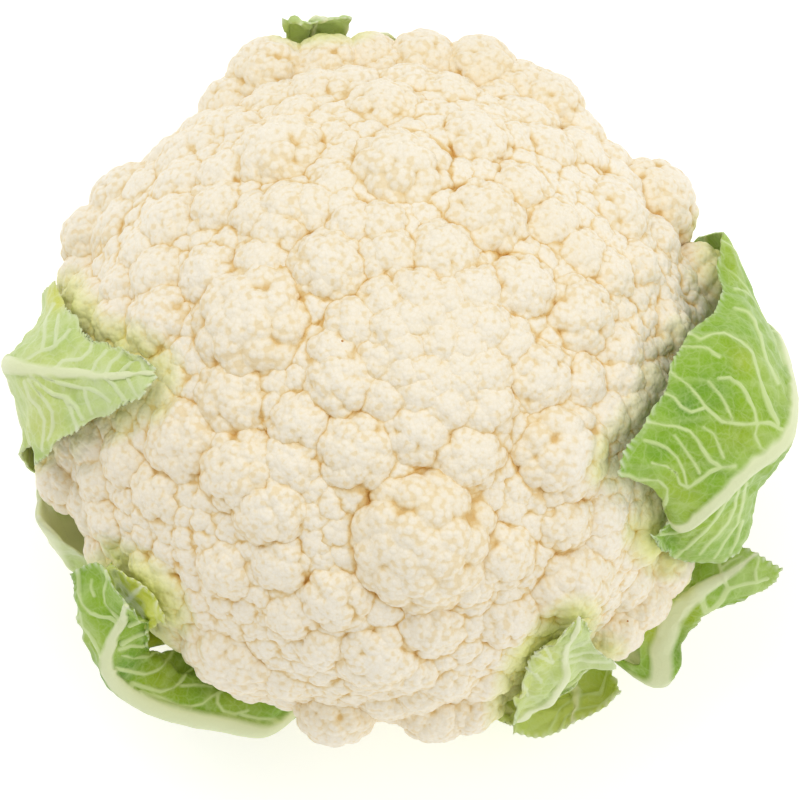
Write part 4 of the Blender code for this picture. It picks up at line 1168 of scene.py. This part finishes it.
def places_along(samples, seen_from):
    """Shares of a leaf's length at which it is read: a few where it is hidden, and most where it shows."""
    return np.interp(np.linspace(0, 1, samples), (0, 0.16, 1), (0, 0.85 * seen_from, 1))


def read_at(net, places):
    """A net read at shares of its length, as smooth_through would give it."""
    fine = smooth_through(net, FINE_SAMPLES)
    return fine[np.round(places * (FINE_SAMPLES - 1)).astype(int)]


def leaf_net(rows, grid, rib, tip_gap):
    """The CAD model's net for a leaf, without its teeth."""
    lengthways, sideways = grid
    net = smooth_through(rows, lengthways)
    net = smooth_through(net.transpose(1, 0, 2), sideways).transpose(1, 0, 2)
    along = np.linspace(0, 1, lengthways)[:, None]
    aside = np.linspace(-1, 1, sideways)[None, :]
    spread_of_rib = 0.34 + 0.9 * np.clip(1 - along * 2.2, 0, 1)
    swell = np.clip(1 - (np.abs(aside) / spread_of_rib) ** 2, 0, 1) * (1 - 0.75 * along)
    gap = (BLADE + (rib - BLADE) * swell) / 2 + LEAF_GAP + (tip_gap - LEAF_GAP) * along**3
    return clear_of_curd(net.reshape(-1, 3), shapes, gap.ravel()).reshape(net.shape)


def soft_noise(points, size, seed):
    """A smooth random value at each point, mostly between -1 and 1, in patches about size mm across."""
    draw = np.random.default_rng(seed)
    total = 0.0
    for wave in range(14):
        way = draw.normal(size=3)
        way *= draw.uniform(0.7, 1.5) * math.pi / size / np.linalg.norm(way)
        total = total + np.sin(points @ way + draw.uniform(0, 2 * math.pi))
    return total / 4


def in_view(points):
    """The pixels at which points are seen: the reverse of seen_from_above."""
    offset = points - EYE
    scale = PIXELS_PER_MM * EYE_DISTANCE / -(offset @ TOWARDS_EYE)
    across = VIEW_MIDDLE[0] + offset @ ACROSS * scale
    down = VIEW_MIDDLE[1] - offset @ UPWARDS * scale
    return np.stack((across, down), axis=-1)


def line_strength(seen, line, start_width, end_width):
    """1 on a line followed in the view, falling to 0 at its half width."""
    line = np.asarray(line, float)
    strength = np.zeros(seen.shape[:-1])
    for number_of, (start, end) in enumerate(zip(line[:-1], line[1:])):
        way = end - start
        share = np.clip((seen - start) @ way / way.dot(way), 0, 1)
        off = np.linalg.norm(seen - start - share[..., None] * way, axis=-1)
        place = (number_of + share) / (len(line) - 1)
        width = start_width + (end_width - start_width) * place
        clear = np.clip(1.35 - 1.35 * off / np.maximum(width + 0.7, 2.3), 0, 1)
        strength = np.maximum(strength, clear * np.minimum(0.35 + 0.33 * width, 1.0))
    return strength


def ruled_veins(reach, off, seed):
    """Side veins by rule: they leave the midrib every 13 mm, curve towards the tip and thin outwards."""
    draw = np.random.default_rng(seed)
    strength = np.zeros(off.shape)
    for side in (-1, 1):
        for start in np.arange(18, reach.max(), RULED_VEINS_EVERY) + draw.uniform(-3, 3):
            away = np.abs(off)
            line = start + 0.75 * away - 0.004 * away**2 + 1.6 * np.sin(away / 5 + start)
            width = np.clip(1.15 - 0.016 * away, 0.4, 1.2)
            hit = np.clip(1.2 - np.abs(reach - line) * 0.8 / width, 0, 1)
            strength = np.maximum(strength, np.where(off * side > 0, hit, 0))
    return strength


def grow_leaf(name, rows, grid, fine, rib, ridge, tooth, seen_from, tip_gap, material, seed):
    """A fine leaf over the CAD model's net, as one closed mesh.

    fine is its finer grid. rib is its greatest thickness in mm. ridge is the midrib's half width in mm at
    the base, where it comes into view and at the tip. tooth is how far its teeth stand out in mm. seen_from
    is the share of its length after which the view shows it.
    """
    lengthways, sideways = fine
    net = leaf_net(rows, grid, rib, tip_gap)
    along = places_along(lengthways, seen_from)
    net = read_at(net, along)
    net = smooth_through(net.transpose(1, 0, 2), sideways).transpose(1, 0, 2)
    along = along[:, None]
    aside = np.linspace(-1, 1, sideways)[None, :]
    middle = sideways // 2
    steps = np.linalg.norm(np.diff(net, axis=1), axis=2)
    across = np.concatenate((np.zeros((lengthways, 1)), np.cumsum(steps, axis=1)), axis=1)
    off = across - across[:, middle:middle + 1]
    steps = np.linalg.norm(np.diff(net, axis=0), axis=2)
    reach = np.concatenate((np.zeros((1, sideways)), np.cumsum(steps, axis=0)), axis=0)

    # What the veins are: those followed in the view, and those by rule where it shows nothing
    seen = in_view(net)
    shown = np.clip((along - seen_from) * 12, 0, 1)
    followed = np.zeros(off.shape)
    for side, start_width, end_width, line in VEINS.get(name, []):
        strength = line_strength(seen, line, start_width, end_width)
        if side:
            strength = np.where(off * side > 0, strength, 0)
        followed = np.maximum(followed, strength)
    ruled = ruled_veins(reach[:, middle:middle + 1], off, seed)
    ruled = ruled * np.clip((along - 0.25) * 6, 0, 1)
    if name in VEINS:
        ruled = ruled * (1 - 0.85 * shown)
    vein = np.maximum(followed * shown, ruled)
    half = np.interp(along, (0, seen_from, 1), ridge)
    ridge_strength = np.clip(1 - (off / half) ** 2, 0, 1)

    # Puckers, waves and teeth
    slope_along = np.gradient(net, axis=0)
    slope_aside = np.gradient(net, axis=1)
    normal = unit(np.cross(slope_along, slope_aside))
    calm = (1 - vein) * (1 - ridge_strength) * np.clip((along - 0.3) * 5, 0, 1)
    pucker = 0.34 * soft_noise(net, 6.0, seed) + 0.30 * soft_noise(net, 2.6, seed + 1)
    edge = np.abs(aside) ** 5 * np.clip((along - 0.3) * 4, 0, 1)
    wave = 0.9 * soft_noise(net, 7.0, seed + 2) * edge * min(tooth * 1.5, 1.0)
    net = net + normal * (pucker * calm + wave)[:, :, None]
    spread = unit(slope_aside)
    onward = unit(slope_along)
    rim = np.clip(1 - (across[:, -1:] / 2 - np.abs(across - across[:, -1:] / 2)) / MARGIN, 0, 1)
    rim = rim * np.clip((along - 0.34) * 6, 0, 1)
    saw = np.abs((reach / TEETH_EVERY + 1.1 * soft_noise(net, 8.0, seed + 3)) % 1.0 * 2 - 1) - 0.45
    saw = saw * (0.7 + 0.5 * soft_noise(net, 4.0, seed + 6))
    torn = 0.7 * soft_noise(net, 5.0, seed + 7) * min(tooth * 2, 1.0)
    tip = np.clip(1 - (reach[-1:] - reach) / MARGIN, 0, 1)
    tip_saw = np.abs((across / TIP_TEETH_EVERY) % 1.0 * 2 - 1) - 0.45
    net = net + spread * (np.sign(aside) * rim * (saw * tooth * TOOTH_GAIN + torn))[:, :, None]
    net = net + onward * (tip * tip_saw * tooth * TOOTH_GAIN)[:, :, None]
    white = np.maximum(rim * np.clip(saw + 0.2, 0, 1), tip * np.clip(tip_saw + 0.2, 0, 1))

    # The wall: a thin blade, a rounded midrib, and veins that stand up
    swell = (rib - BLADE) * (1 - 0.75 * along)
    wall = THIN_BLADE + VEIN_RISE * vein + swell * np.sqrt(ridge_strength)
    wall = wall * (1 - 0.45 * np.maximum(rim, tip))
    values = {"vein": vein, "ridge": ridge_strength, "white": white}
    tone_and_painted_shade = 0.25 * soft_noise(net, 9.0, seed + 4)
    yellow = 0.2 * soft_noise(net, 14.0, seed + 5) + 0.25 * np.clip(1 - along * 3, 0, 1)
    # Tints: where one lightens a leaf it lifts a part that lies in shade, which is painted light; where one
    # darkens it, the darkness is partly the blade's own colour and partly painted shade
    for x, y, reach_of, darker, yellower in TINTS.get(name, []):
        near = np.exp(-((seen - (x, y)) ** 2).sum(axis=2) / reach_of**2) * shown
        tone_and_painted_shade = tone_and_painted_shade + darker * near
        yellow = yellow + yellower * near
    values["tone_and_painted_shade"] = tone_and_painted_shade
    values["yellow"] = yellow
    return closed_sheet(name + "_fine", net, wall, values, material), net


def closed_sheet(name, net, wall, values, material):
    """A closed mesh of a net of points in mm with that wall about it."""
    lengthways, sideways = net.shape[:2]
    normal = unit(np.cross(np.gradient(net, axis=0), np.gradient(net, axis=1)))
    front = net + normal * wall[:, :, None] / 2
    back = net - normal * wall[:, :, None] / 2
    index = np.arange(lengthways * sideways).reshape(lengthways, sideways)
    a, b, c, d = index[:-1, :-1], index[1:, :-1], index[1:, 1:], index[:-1, 1:]
    # Each square is cut along the diagonal on which the veins change least, so that veins run on unbroken
    lines = (values["vein"] + values["ridge"]).ravel()
    same = np.abs(lines[a] - lines[c]) <= np.abs(lines[b] - lines[d])
    first = np.stack((a, b, np.where(same, c, d)), -1)
    second = np.stack((np.where(same, a, b), c, d), -1)
    faces = np.concatenate([first.reshape(-1, 3), second.reshape(-1, 3)])
    under = faces[:, ::-1] + index.size
    loop = np.concatenate((index[0, :], index[1:, -1], index[-1, -2::-1], index[-2:0:-1, 0]))
    after = np.roll(loop, -1)
    side = np.concatenate([
        np.stack((loop, after, after + index.size), -1),
        np.stack((loop, after + index.size, loop + index.size), -1),
    ])
    points = np.concatenate((front.reshape(-1, 3), back.reshape(-1, 3)))
    doubled = {key: np.concatenate((value.ravel(), value.ravel())) for key, value in values.items()}
    # Faces that are turned away from the eye count as buried, and are thinned
    away = (-normal @ TOWARDS_EYE).ravel()
    doubled["buried"] = np.clip(np.concatenate((away, -away)) * 3, 0, 1)
    return solid(name, points, np.concatenate((faces, under, side)), material, doubled)

# %% [markdown]
# ## Leaf, and how it takes the light
# A leaf's skin is waxy: it has a broad soft shine and a grey-white bloom that lies unevenly. Colour follows
# the anatomy: the midrib is nearly white, veins are pale, the blade is green, and teeth end in white. The
# blade's green is deeper in soft patches and where the tints darken it, partly its own colour and partly
# painted shade, and paler where a tint lifts a part that lies in shade, which is painted light. Two nets of
# finer veins, about 3.5 mm and 1.2 mm across, are drawn as they are on the real leaf, and make a slight
# relief.

# %% Leaf materials
def leaf_material(name, blade, deep, young, vein, bloom, clear):
    """Waxy leaf skin in its own greens. bloom is how much wax it has, clear how pale its veins are."""
    material, tree, place = new_material(name)
    pale = colour(vein)
    patch = noise(place, 140.0, 3.0)
    # Deeper green in soft patches and where the tints darken, partly the blade's own colour and partly
    # painted shade
    shade = stored(tree, "tone_and_painted_shade") + (patch - 0.5) * 1.1
    tone = mixed(number("MAXIMUM", shade, 0.0), colour(blade), colour(deep))
    tone = mixed(number("MAXIMUM", stored(tree, "yellow"), 0.0), tone, colour(young))
    # Painted light: where a tint lifts a leaf out of shade, its blade pales towards its vein colour
    tone = mixed(number("MINIMUM", number("MAXIMUM", shade * -0.45, 0.0), 0.7), tone, pale)
    # The nets of fine veins: the edges of cells
    bent = vector("SUBTRACT", noise(place, 260.0, out="Color"), (0.5, 0.5, 0.5))
    bent = vector("ADD", place, vector("SCALE", bent, scale=0.0022))
    coarse = ramp(cells(bent, 290.0, feature="DISTANCE_TO_EDGE"), 0.02, 0.11, 1.0, 0.0)
    close = ramp(cells(bent, 830.0, feature="DISTANCE_TO_EDGE"), 0.03, 0.16, 1.0, 0.0)
    net = coarse * 0.16 + close * 0.10
    tone = mixed(net, tone, pale)
    tone = mixed(number("MINIMUM", stored(tree, "vein") * 1.3, clear), tone, pale)
    # Wax, thin and uneven
    tone = mixed(ramp(noise(place, 60.0, 4.0), 0.38, 0.72, 0.0, bloom), tone, colour("#C6D8A6"))
    # The midrib, and the white ends of the teeth
    tone = mixed(number("MINIMUM", stored(tree, "ridge") * 1.3, 0.95), tone, colour("#E4EABC"))
    tone = mixed(stored(tree, "white") * 0.9, tone, colour("#F2F4E2"))
    looks = {"Roughness": 0.42, "Specular IOR Level": 0.3, "Sheen Weight": 0.04, "Sheen Roughness": 0.5}
    return finish_material(material, tone, net + patch * 0.6, 0.5, 0.0004, looks)


leaf_green = leaf_material("waxy green leaf", "#86B01E", "#558A06", "#B6C81C", "#CFE09A", 0.12, 0.9)
leaf_pale = leaf_material("pale inner leaf", "#C2D47C", "#96B846", "#D0D452", "#E6EDC6", 0.34, 0.6)
leaf_yellow = leaf_material("thin young leaf", "#C0CE2A", "#93AA10", "#D0D23C", "#DCE28A", 0.04, 0.6)

# %% [markdown]
# ## The leaves
# Twelve leaves, each on its own CAD node. A grid is finer than a millimetre where the view shows a leaf's
# veins and teeth, and wide where the leaf only passes under the curd. Faces that are turned away from the
# eye are then thinned to about a third. The table gives for each leaf the grid of its CAD net, its fine
# grid, its greatest thickness, the midrib's half width at three places, how far its teeth stand out, the
# share of its length after which it is seen, its gap to the curd at the tip, and its material.

# %% Grow the leaves
LEAVES = [
    ("leaf_right", (28, 11), (250, 190), 5.5, (7.5, 3.4, 2.0), 0.45, 0.38, LEAF_GAP, leaf_green),
    ("leaf_left", (24, 9), (180, 101), 5.0, (8.0, 2.8, 0.5), 0.7, 0.42, LEAF_GAP, leaf_pale),
    ("leaf_base_left", (11, 7), (30, 31), 6.5, (12.0, 9.5, 9.0), 0.0, 0.9, LEAF_GAP, leaf_pale),
    ("leaf_front_left", (26, 9), (330, 77), 6.0, (8.5, 3.4, 0.8), 0.3, 0.22, OVER_YOUNG_LEAF_GAP,
     leaf_green),
    ("leaf_young", (14, 7), (70, 41), 2.4, (4.0, 1.2, 0.5), 0.4, 0.75, YOUNG_LEAF_GAP, leaf_yellow),
    ("leaf_front_inner", (20, 9), (90, 61), 4.0, (8.0, 2.6, 0.7), 0.8, 0.3, LEAF_GAP, leaf_pale),
    ("leaf_front_outer", (16, 9), (60, 61), 5.0, (8.0, 2.5, 0.6), 0.6, 0.4, LEAF_GAP, leaf_green),
    ("leaf_right_low", (24, 9), (110, 51), 3.6, (8.0, 4.5, 0.6), 0.5, 0.3, LEAF_GAP, leaf_green),
    ("leaf_back", (16, 7), (60, 41), 5.0, (8.0, 3.0, 0.8), 0.5, 0.6, LEAF_GAP, leaf_green),
    ("leaf_back_small", (12, 5), (30, 21), 3.0, (5.0, 2.5, 2.0), 0.2, 0.8, LEAF_GAP, leaf_pale),
    ("leaf_base_back_right", (11, 7), (24, 25), 6.0, (11.0, 9.0, 9.0), 0.0, 0.9, LEAF_GAP, leaf_pale),
    ("leaf_base_back_left", (11, 7), (24, 25), 6.0, (11.0, 9.0, 9.0), 0.0, 0.9, LEAF_GAP, leaf_pale),
]
LEAF_SEED = 70
KEPT_OF_FAR_FACES = 0.35
leaf_points = []
for number_of, (name, *shape, material) in enumerate(LEAVES):
    made, net = grow_leaf(name, LEAF_ROWS[name], *shape, material, LEAF_SEED + number_of)
    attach(made, "root")
    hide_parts(name)
    thinned(made, KEPT_OF_FAR_FACES)
    leaf_points.append(net[::3, ::3].reshape(-1, 3))
    print(made.name, len(made.data.polygons), "triangles")
leaf_points = np.concatenate(leaf_points)

# %% [markdown]
# ## Under the curd, and the stalk
# Below the florets the plant is bare: thick branches leave the stalk like the ribs of a vault and fork on
# their way out, pale and faintly green. The stalk was cut flat, so its end shows the plant's build: a wide
# soft pith, a ring of stringy vessels round it, and a green rind. Both are turned or radial shapes, so each
# is one formula laid over an even grid of points.

# %% Stem material
def stem_material(name, flesh, rind):
    """Smooth stem: flesh colour inside, rind outside, with vessels as fine dots between them."""
    material, tree, place = new_material(name)
    shade = stored(tree, "skin") + (noise(place, 90.0, 4.0) - 0.5) * 0.6
    tone = mixed(shade, colour(flesh), colour(rind))
    dots = number("LESS_THAN", cells(place, 620.0), 0.34) * stored(tree, "vessel")
    tone = mixed(dots, tone, colour("#A9B968"))
    looks = {"Roughness": 0.45, "Specular IOR Level": 0.4}
    return finish_material(material, tone, noise(place, 700.0), 0.4, 0.0003, looks)


# %% The branches under the curd
def branch_ribs(directions):
    """How much further out the underside lies in each direction: nine ribs, which fork on their way out."""
    turn = np.arctan2(directions[:, 1], directions[:, 0])
    level = np.clip(np.hypot(directions[:, 0], directions[:, 1]) * 1.25 - 0.35, 0, 1)
    wander = 0.25 * np.sin(3 * turn + 1.0) + 0.15 * np.sin(5 * turn)
    main = np.abs(np.cos(4.5 * turn + wander)) ** 0.6
    forked = np.abs(np.cos(9 * turn + 2 * wander + 0.9)) ** 0.6
    return 1 + 0.030 * (main - 0.6) * (1 - level) + 0.030 * (forked - 0.6) * level


form = bmesh.new()
bmesh.ops.create_icosphere(form, subdivisions=6, radius=1.0)
directions = unit(np.array([vertex.co for vertex in form.verts]))
core_triangles = [[vertex.index for vertex in face.verts] for face in form.faces]
form.free()
below = underside_reach(directions)
ribs = np.where(below < 200, branch_ribs(directions), 1)
core_reach = np.minimum(dome_reach(directions, CORE_SHARE), below * ribs)
core_points = CURD_HEART + directions * core_reach[:, None]
flat = core_points[:, 2] < STALK_HEIGHT + TOUCHING_GAP
core_points[flat, 2] = STALK_HEIGHT + TOUCHING_GAP
out_share = np.hypot(core_points[:, 0], core_points[:, 1]) / DOME_RADIUS
branch_flesh = stem_material("cauliflower branch flesh", "#F1EDD2", "#CFDB9C")
core = solid("curd_branches", core_points, core_triangles, branch_flesh, {
    "skin": np.clip(0.9 - 0.9 * out_share, 0.1, 0.8), "vessel": 0 * out_share,
})
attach(core, "root")
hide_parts("curd")
print(core.name, len(core.data.polygons), "triangles")

# %% The stalk
SIDES = 180
profile = [(share, 0.0) for share in np.linspace(0.04, 0.985, 26)]
profile += [(1.0, height) for height in np.linspace(0.35, STALK_HEIGHT - 0.3, 34)]
profile += [(share, STALK_HEIGHT) for share in np.linspace(0.985, 0.1, 12)]
# Compass angle and height of each scar where a leaf was cut away
LEAF_SCARS = [(20, 6), (75, 13), (110, 5), (170, 5), (200, 14), (240, 6), (280, 5), (335, 6)]
turns = np.arange(SIDES) * 2 * math.pi / SIDES
ring_points = []
ring_skin = []
ring_vessel = []
for share, height in profile:
    for turn in turns:
        radius = stalk_radius(turn, height) * share
        side_on = share == 1.0
        relief = 0.0
        if side_on:
            relief = 0.25 * math.sin(23 * turn + 0.3 * height) * math.sin(0.9 * height)
            for angle, level in LEAF_SCARS:
                off = (math.degrees(turn) - angle + 180) % 360 - 180
                edge = math.hypot(off / 17, (height - level) / 2.6)
                relief += 0.5 * math.exp(-((edge - 1) / 0.25) ** 2)
        ring_points.append(((radius + relief) * math.cos(turn), (radius + relief) * math.sin(turn), height))
        ring_skin.append(1.0 if side_on else max(0.0, (share - 0.88) * 9))
        ring_vessel.append(math.exp(-((share - 0.80) / 0.06) ** 2) if not side_on else 0.0)
rings = len(profile)
index = np.arange(rings * SIDES).reshape(rings, SIDES)
after = np.roll(index, -1, axis=1)
a, b, c, d = index[:-1], index[1:], after[1:], after[:-1]
foot, head = rings * SIDES, rings * SIDES + 1
ring_points += [(0.0, 0.0, 0.0), (0.0, 0.0, STALK_HEIGHT)]
ring_skin += [0.0, 0.0]
ring_vessel += [0.0, 0.0]
caps = [(foot, after[0, side], index[0, side]) for side in range(SIDES)]
caps += [(head, index[-1, side], after[-1, side]) for side in range(SIDES)]
stalk_triangles = np.concatenate([
    np.stack((a, c, b), -1).reshape(-1, 3),
    np.stack((a, d, c), -1).reshape(-1, 3),
    np.array(caps),
])
stalk_flesh = stem_material("cut cauliflower stalk", "#F0EFD6", "#B9CB83")
stalk = solid("stalk_fine", np.array(ring_points), stalk_triangles, stalk_flesh, {
    "skin": ring_skin, "vessel": ring_vessel,
})
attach(stalk, "root")
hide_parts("stalk")
print(stalk.name, len(stalk.data.polygons), "triangles")

# %% [markdown]
# ## The curd's pieces
# Florets are joined into a few pieces that a viewer can hold. Each point learns how near a leaf is, because
# the flesh beside a leaf is painted in the yellow-green light that the leaf passes and throws back. Skin that
# is buried in a neighbour is then thinned to almost nothing, which leaves each piece under two hundred
# thousand triangles.

# %% Join the florets into pieces
nearest_leaf = KDTree(len(leaf_points))
for number_of, point in enumerate(leaf_points):
    nearest_leaf.insert(point, number_of)
nearest_leaf.balance()


def joined(name, group, material):
    """One object from several florets: points, triangles and stored values run together."""
    starts = np.cumsum([0] + [len(piece[0]) for piece in group[:-1]])
    points = np.concatenate([piece[0] for piece in group])
    triangles = np.concatenate([piece[1] + start for piece, start in zip(group, starts)])
    values = {key: np.concatenate([piece[2][key] for piece in group]) for key in group[0][2]}
    near = np.array([nearest_leaf.find(point)[2] for point in points])
    # Painted light: how near a leaf is, for the yellow-green that it passes and throws back onto the flesh
    values["painted_leaf_light"] = np.clip(1 - (near - 1.5) / 7, 0, 1)
    return solid(name, points, triangles, material, values)


MOST_BEFORE_THINNING = 330000
KEPT_OF_BURIED_SKIN = 0.05
groups = [[]]
for piece in pieces:
    if sum(len(each[1]) for each in groups[-1]) + len(piece[1]) > MOST_BEFORE_THINNING:
        groups.append([])
    groups[-1].append(piece)
for number_of, group in enumerate(groups):
    made = joined(f"curd_florets_{number_of + 1}", group, curd_flesh)
    thinned(made, KEPT_OF_BURIED_SKIN)
    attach(made, "root")
    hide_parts("curd")
    print(made.name, len(group), "florets", len(made.data.polygons), "triangles")

total = sum(len(each.data.polygons) for each in bpy.data.objects if each.type == "MESH")
print(total, "triangles in all")

# %% [markdown]
# ## Camera, light and floor
# The photograph is a studio shot: a long lens looks down at 75 degrees, the head lies on white, and broad
# soft light from behind leaves hardly a shadow. A white floor that shines a little stands for the lit paper.

# %% Camera, light and floor
camera = linked("camera", bpy.data.cameras.new("camera"))
camera.data.sensor_width = 36.0
camera.data.lens = 225.0
camera.data.clip_end = 20.0
aim = HEAD_MIDDLE + 4 * ACROSS - 3 * UPWARDS
camera.location = (aim + EYE_DISTANCE * TOWARDS_EYE) * MM
camera.rotation_euler = (math.pi / 2 - EYE_HEIGHT_ANGLE, 0.0, 0.0)
bpy.context.scene.camera = camera

floor_mesh = bpy.data.meshes.new("floor")
floor_mesh.from_pydata([(-3, -3, 0), (3, -3, 0), (3, 3, 0), (-3, 3, 0)], [], [(0, 1, 2, 3)])
floor = linked("floor", floor_mesh)
WHITE = (1.0, 1.0, 1.0, 1.0)
paper = bpy.data.materials.new("white paper")
paper.use_nodes = True
set_sockets(paper.node_tree.nodes["Principled BSDF"], {
    "Base Color": colour("#F4F4F4"), "Roughness": 0.9, "Emission Color": WHITE, "Emission Strength": 0.36,
})
floor_mesh.materials.append(paper)

world = bpy.data.worlds.new("studio")
bpy.context.scene.world = world
world.use_nodes = True
set_sockets(world.node_tree.nodes["Background"], {"Color": WHITE, "Strength": 0.635})
bpy.context.scene.view_settings.view_transform = "Standard"


def softbox(name, place, size, power):
    """A round soft light at a place in metres, aimed at the head."""
    light = linked(name, bpy.data.lights.new(name, "AREA"))
    light.data.shape = "DISK"
    light.data.size = size
    light.data.energy = power
    light.location = place
    way = (HEAD_MIDDLE * MM) - np.array(place)
    light.rotation_euler = Vector(way).to_track_quat("-Z", "Y").to_euler()


softbox("key", (-0.35, 0.55, 1.1), 1.1, 4.8)
softbox("fill", (0.8, -0.2, 0.8), 1.2, 3.0)
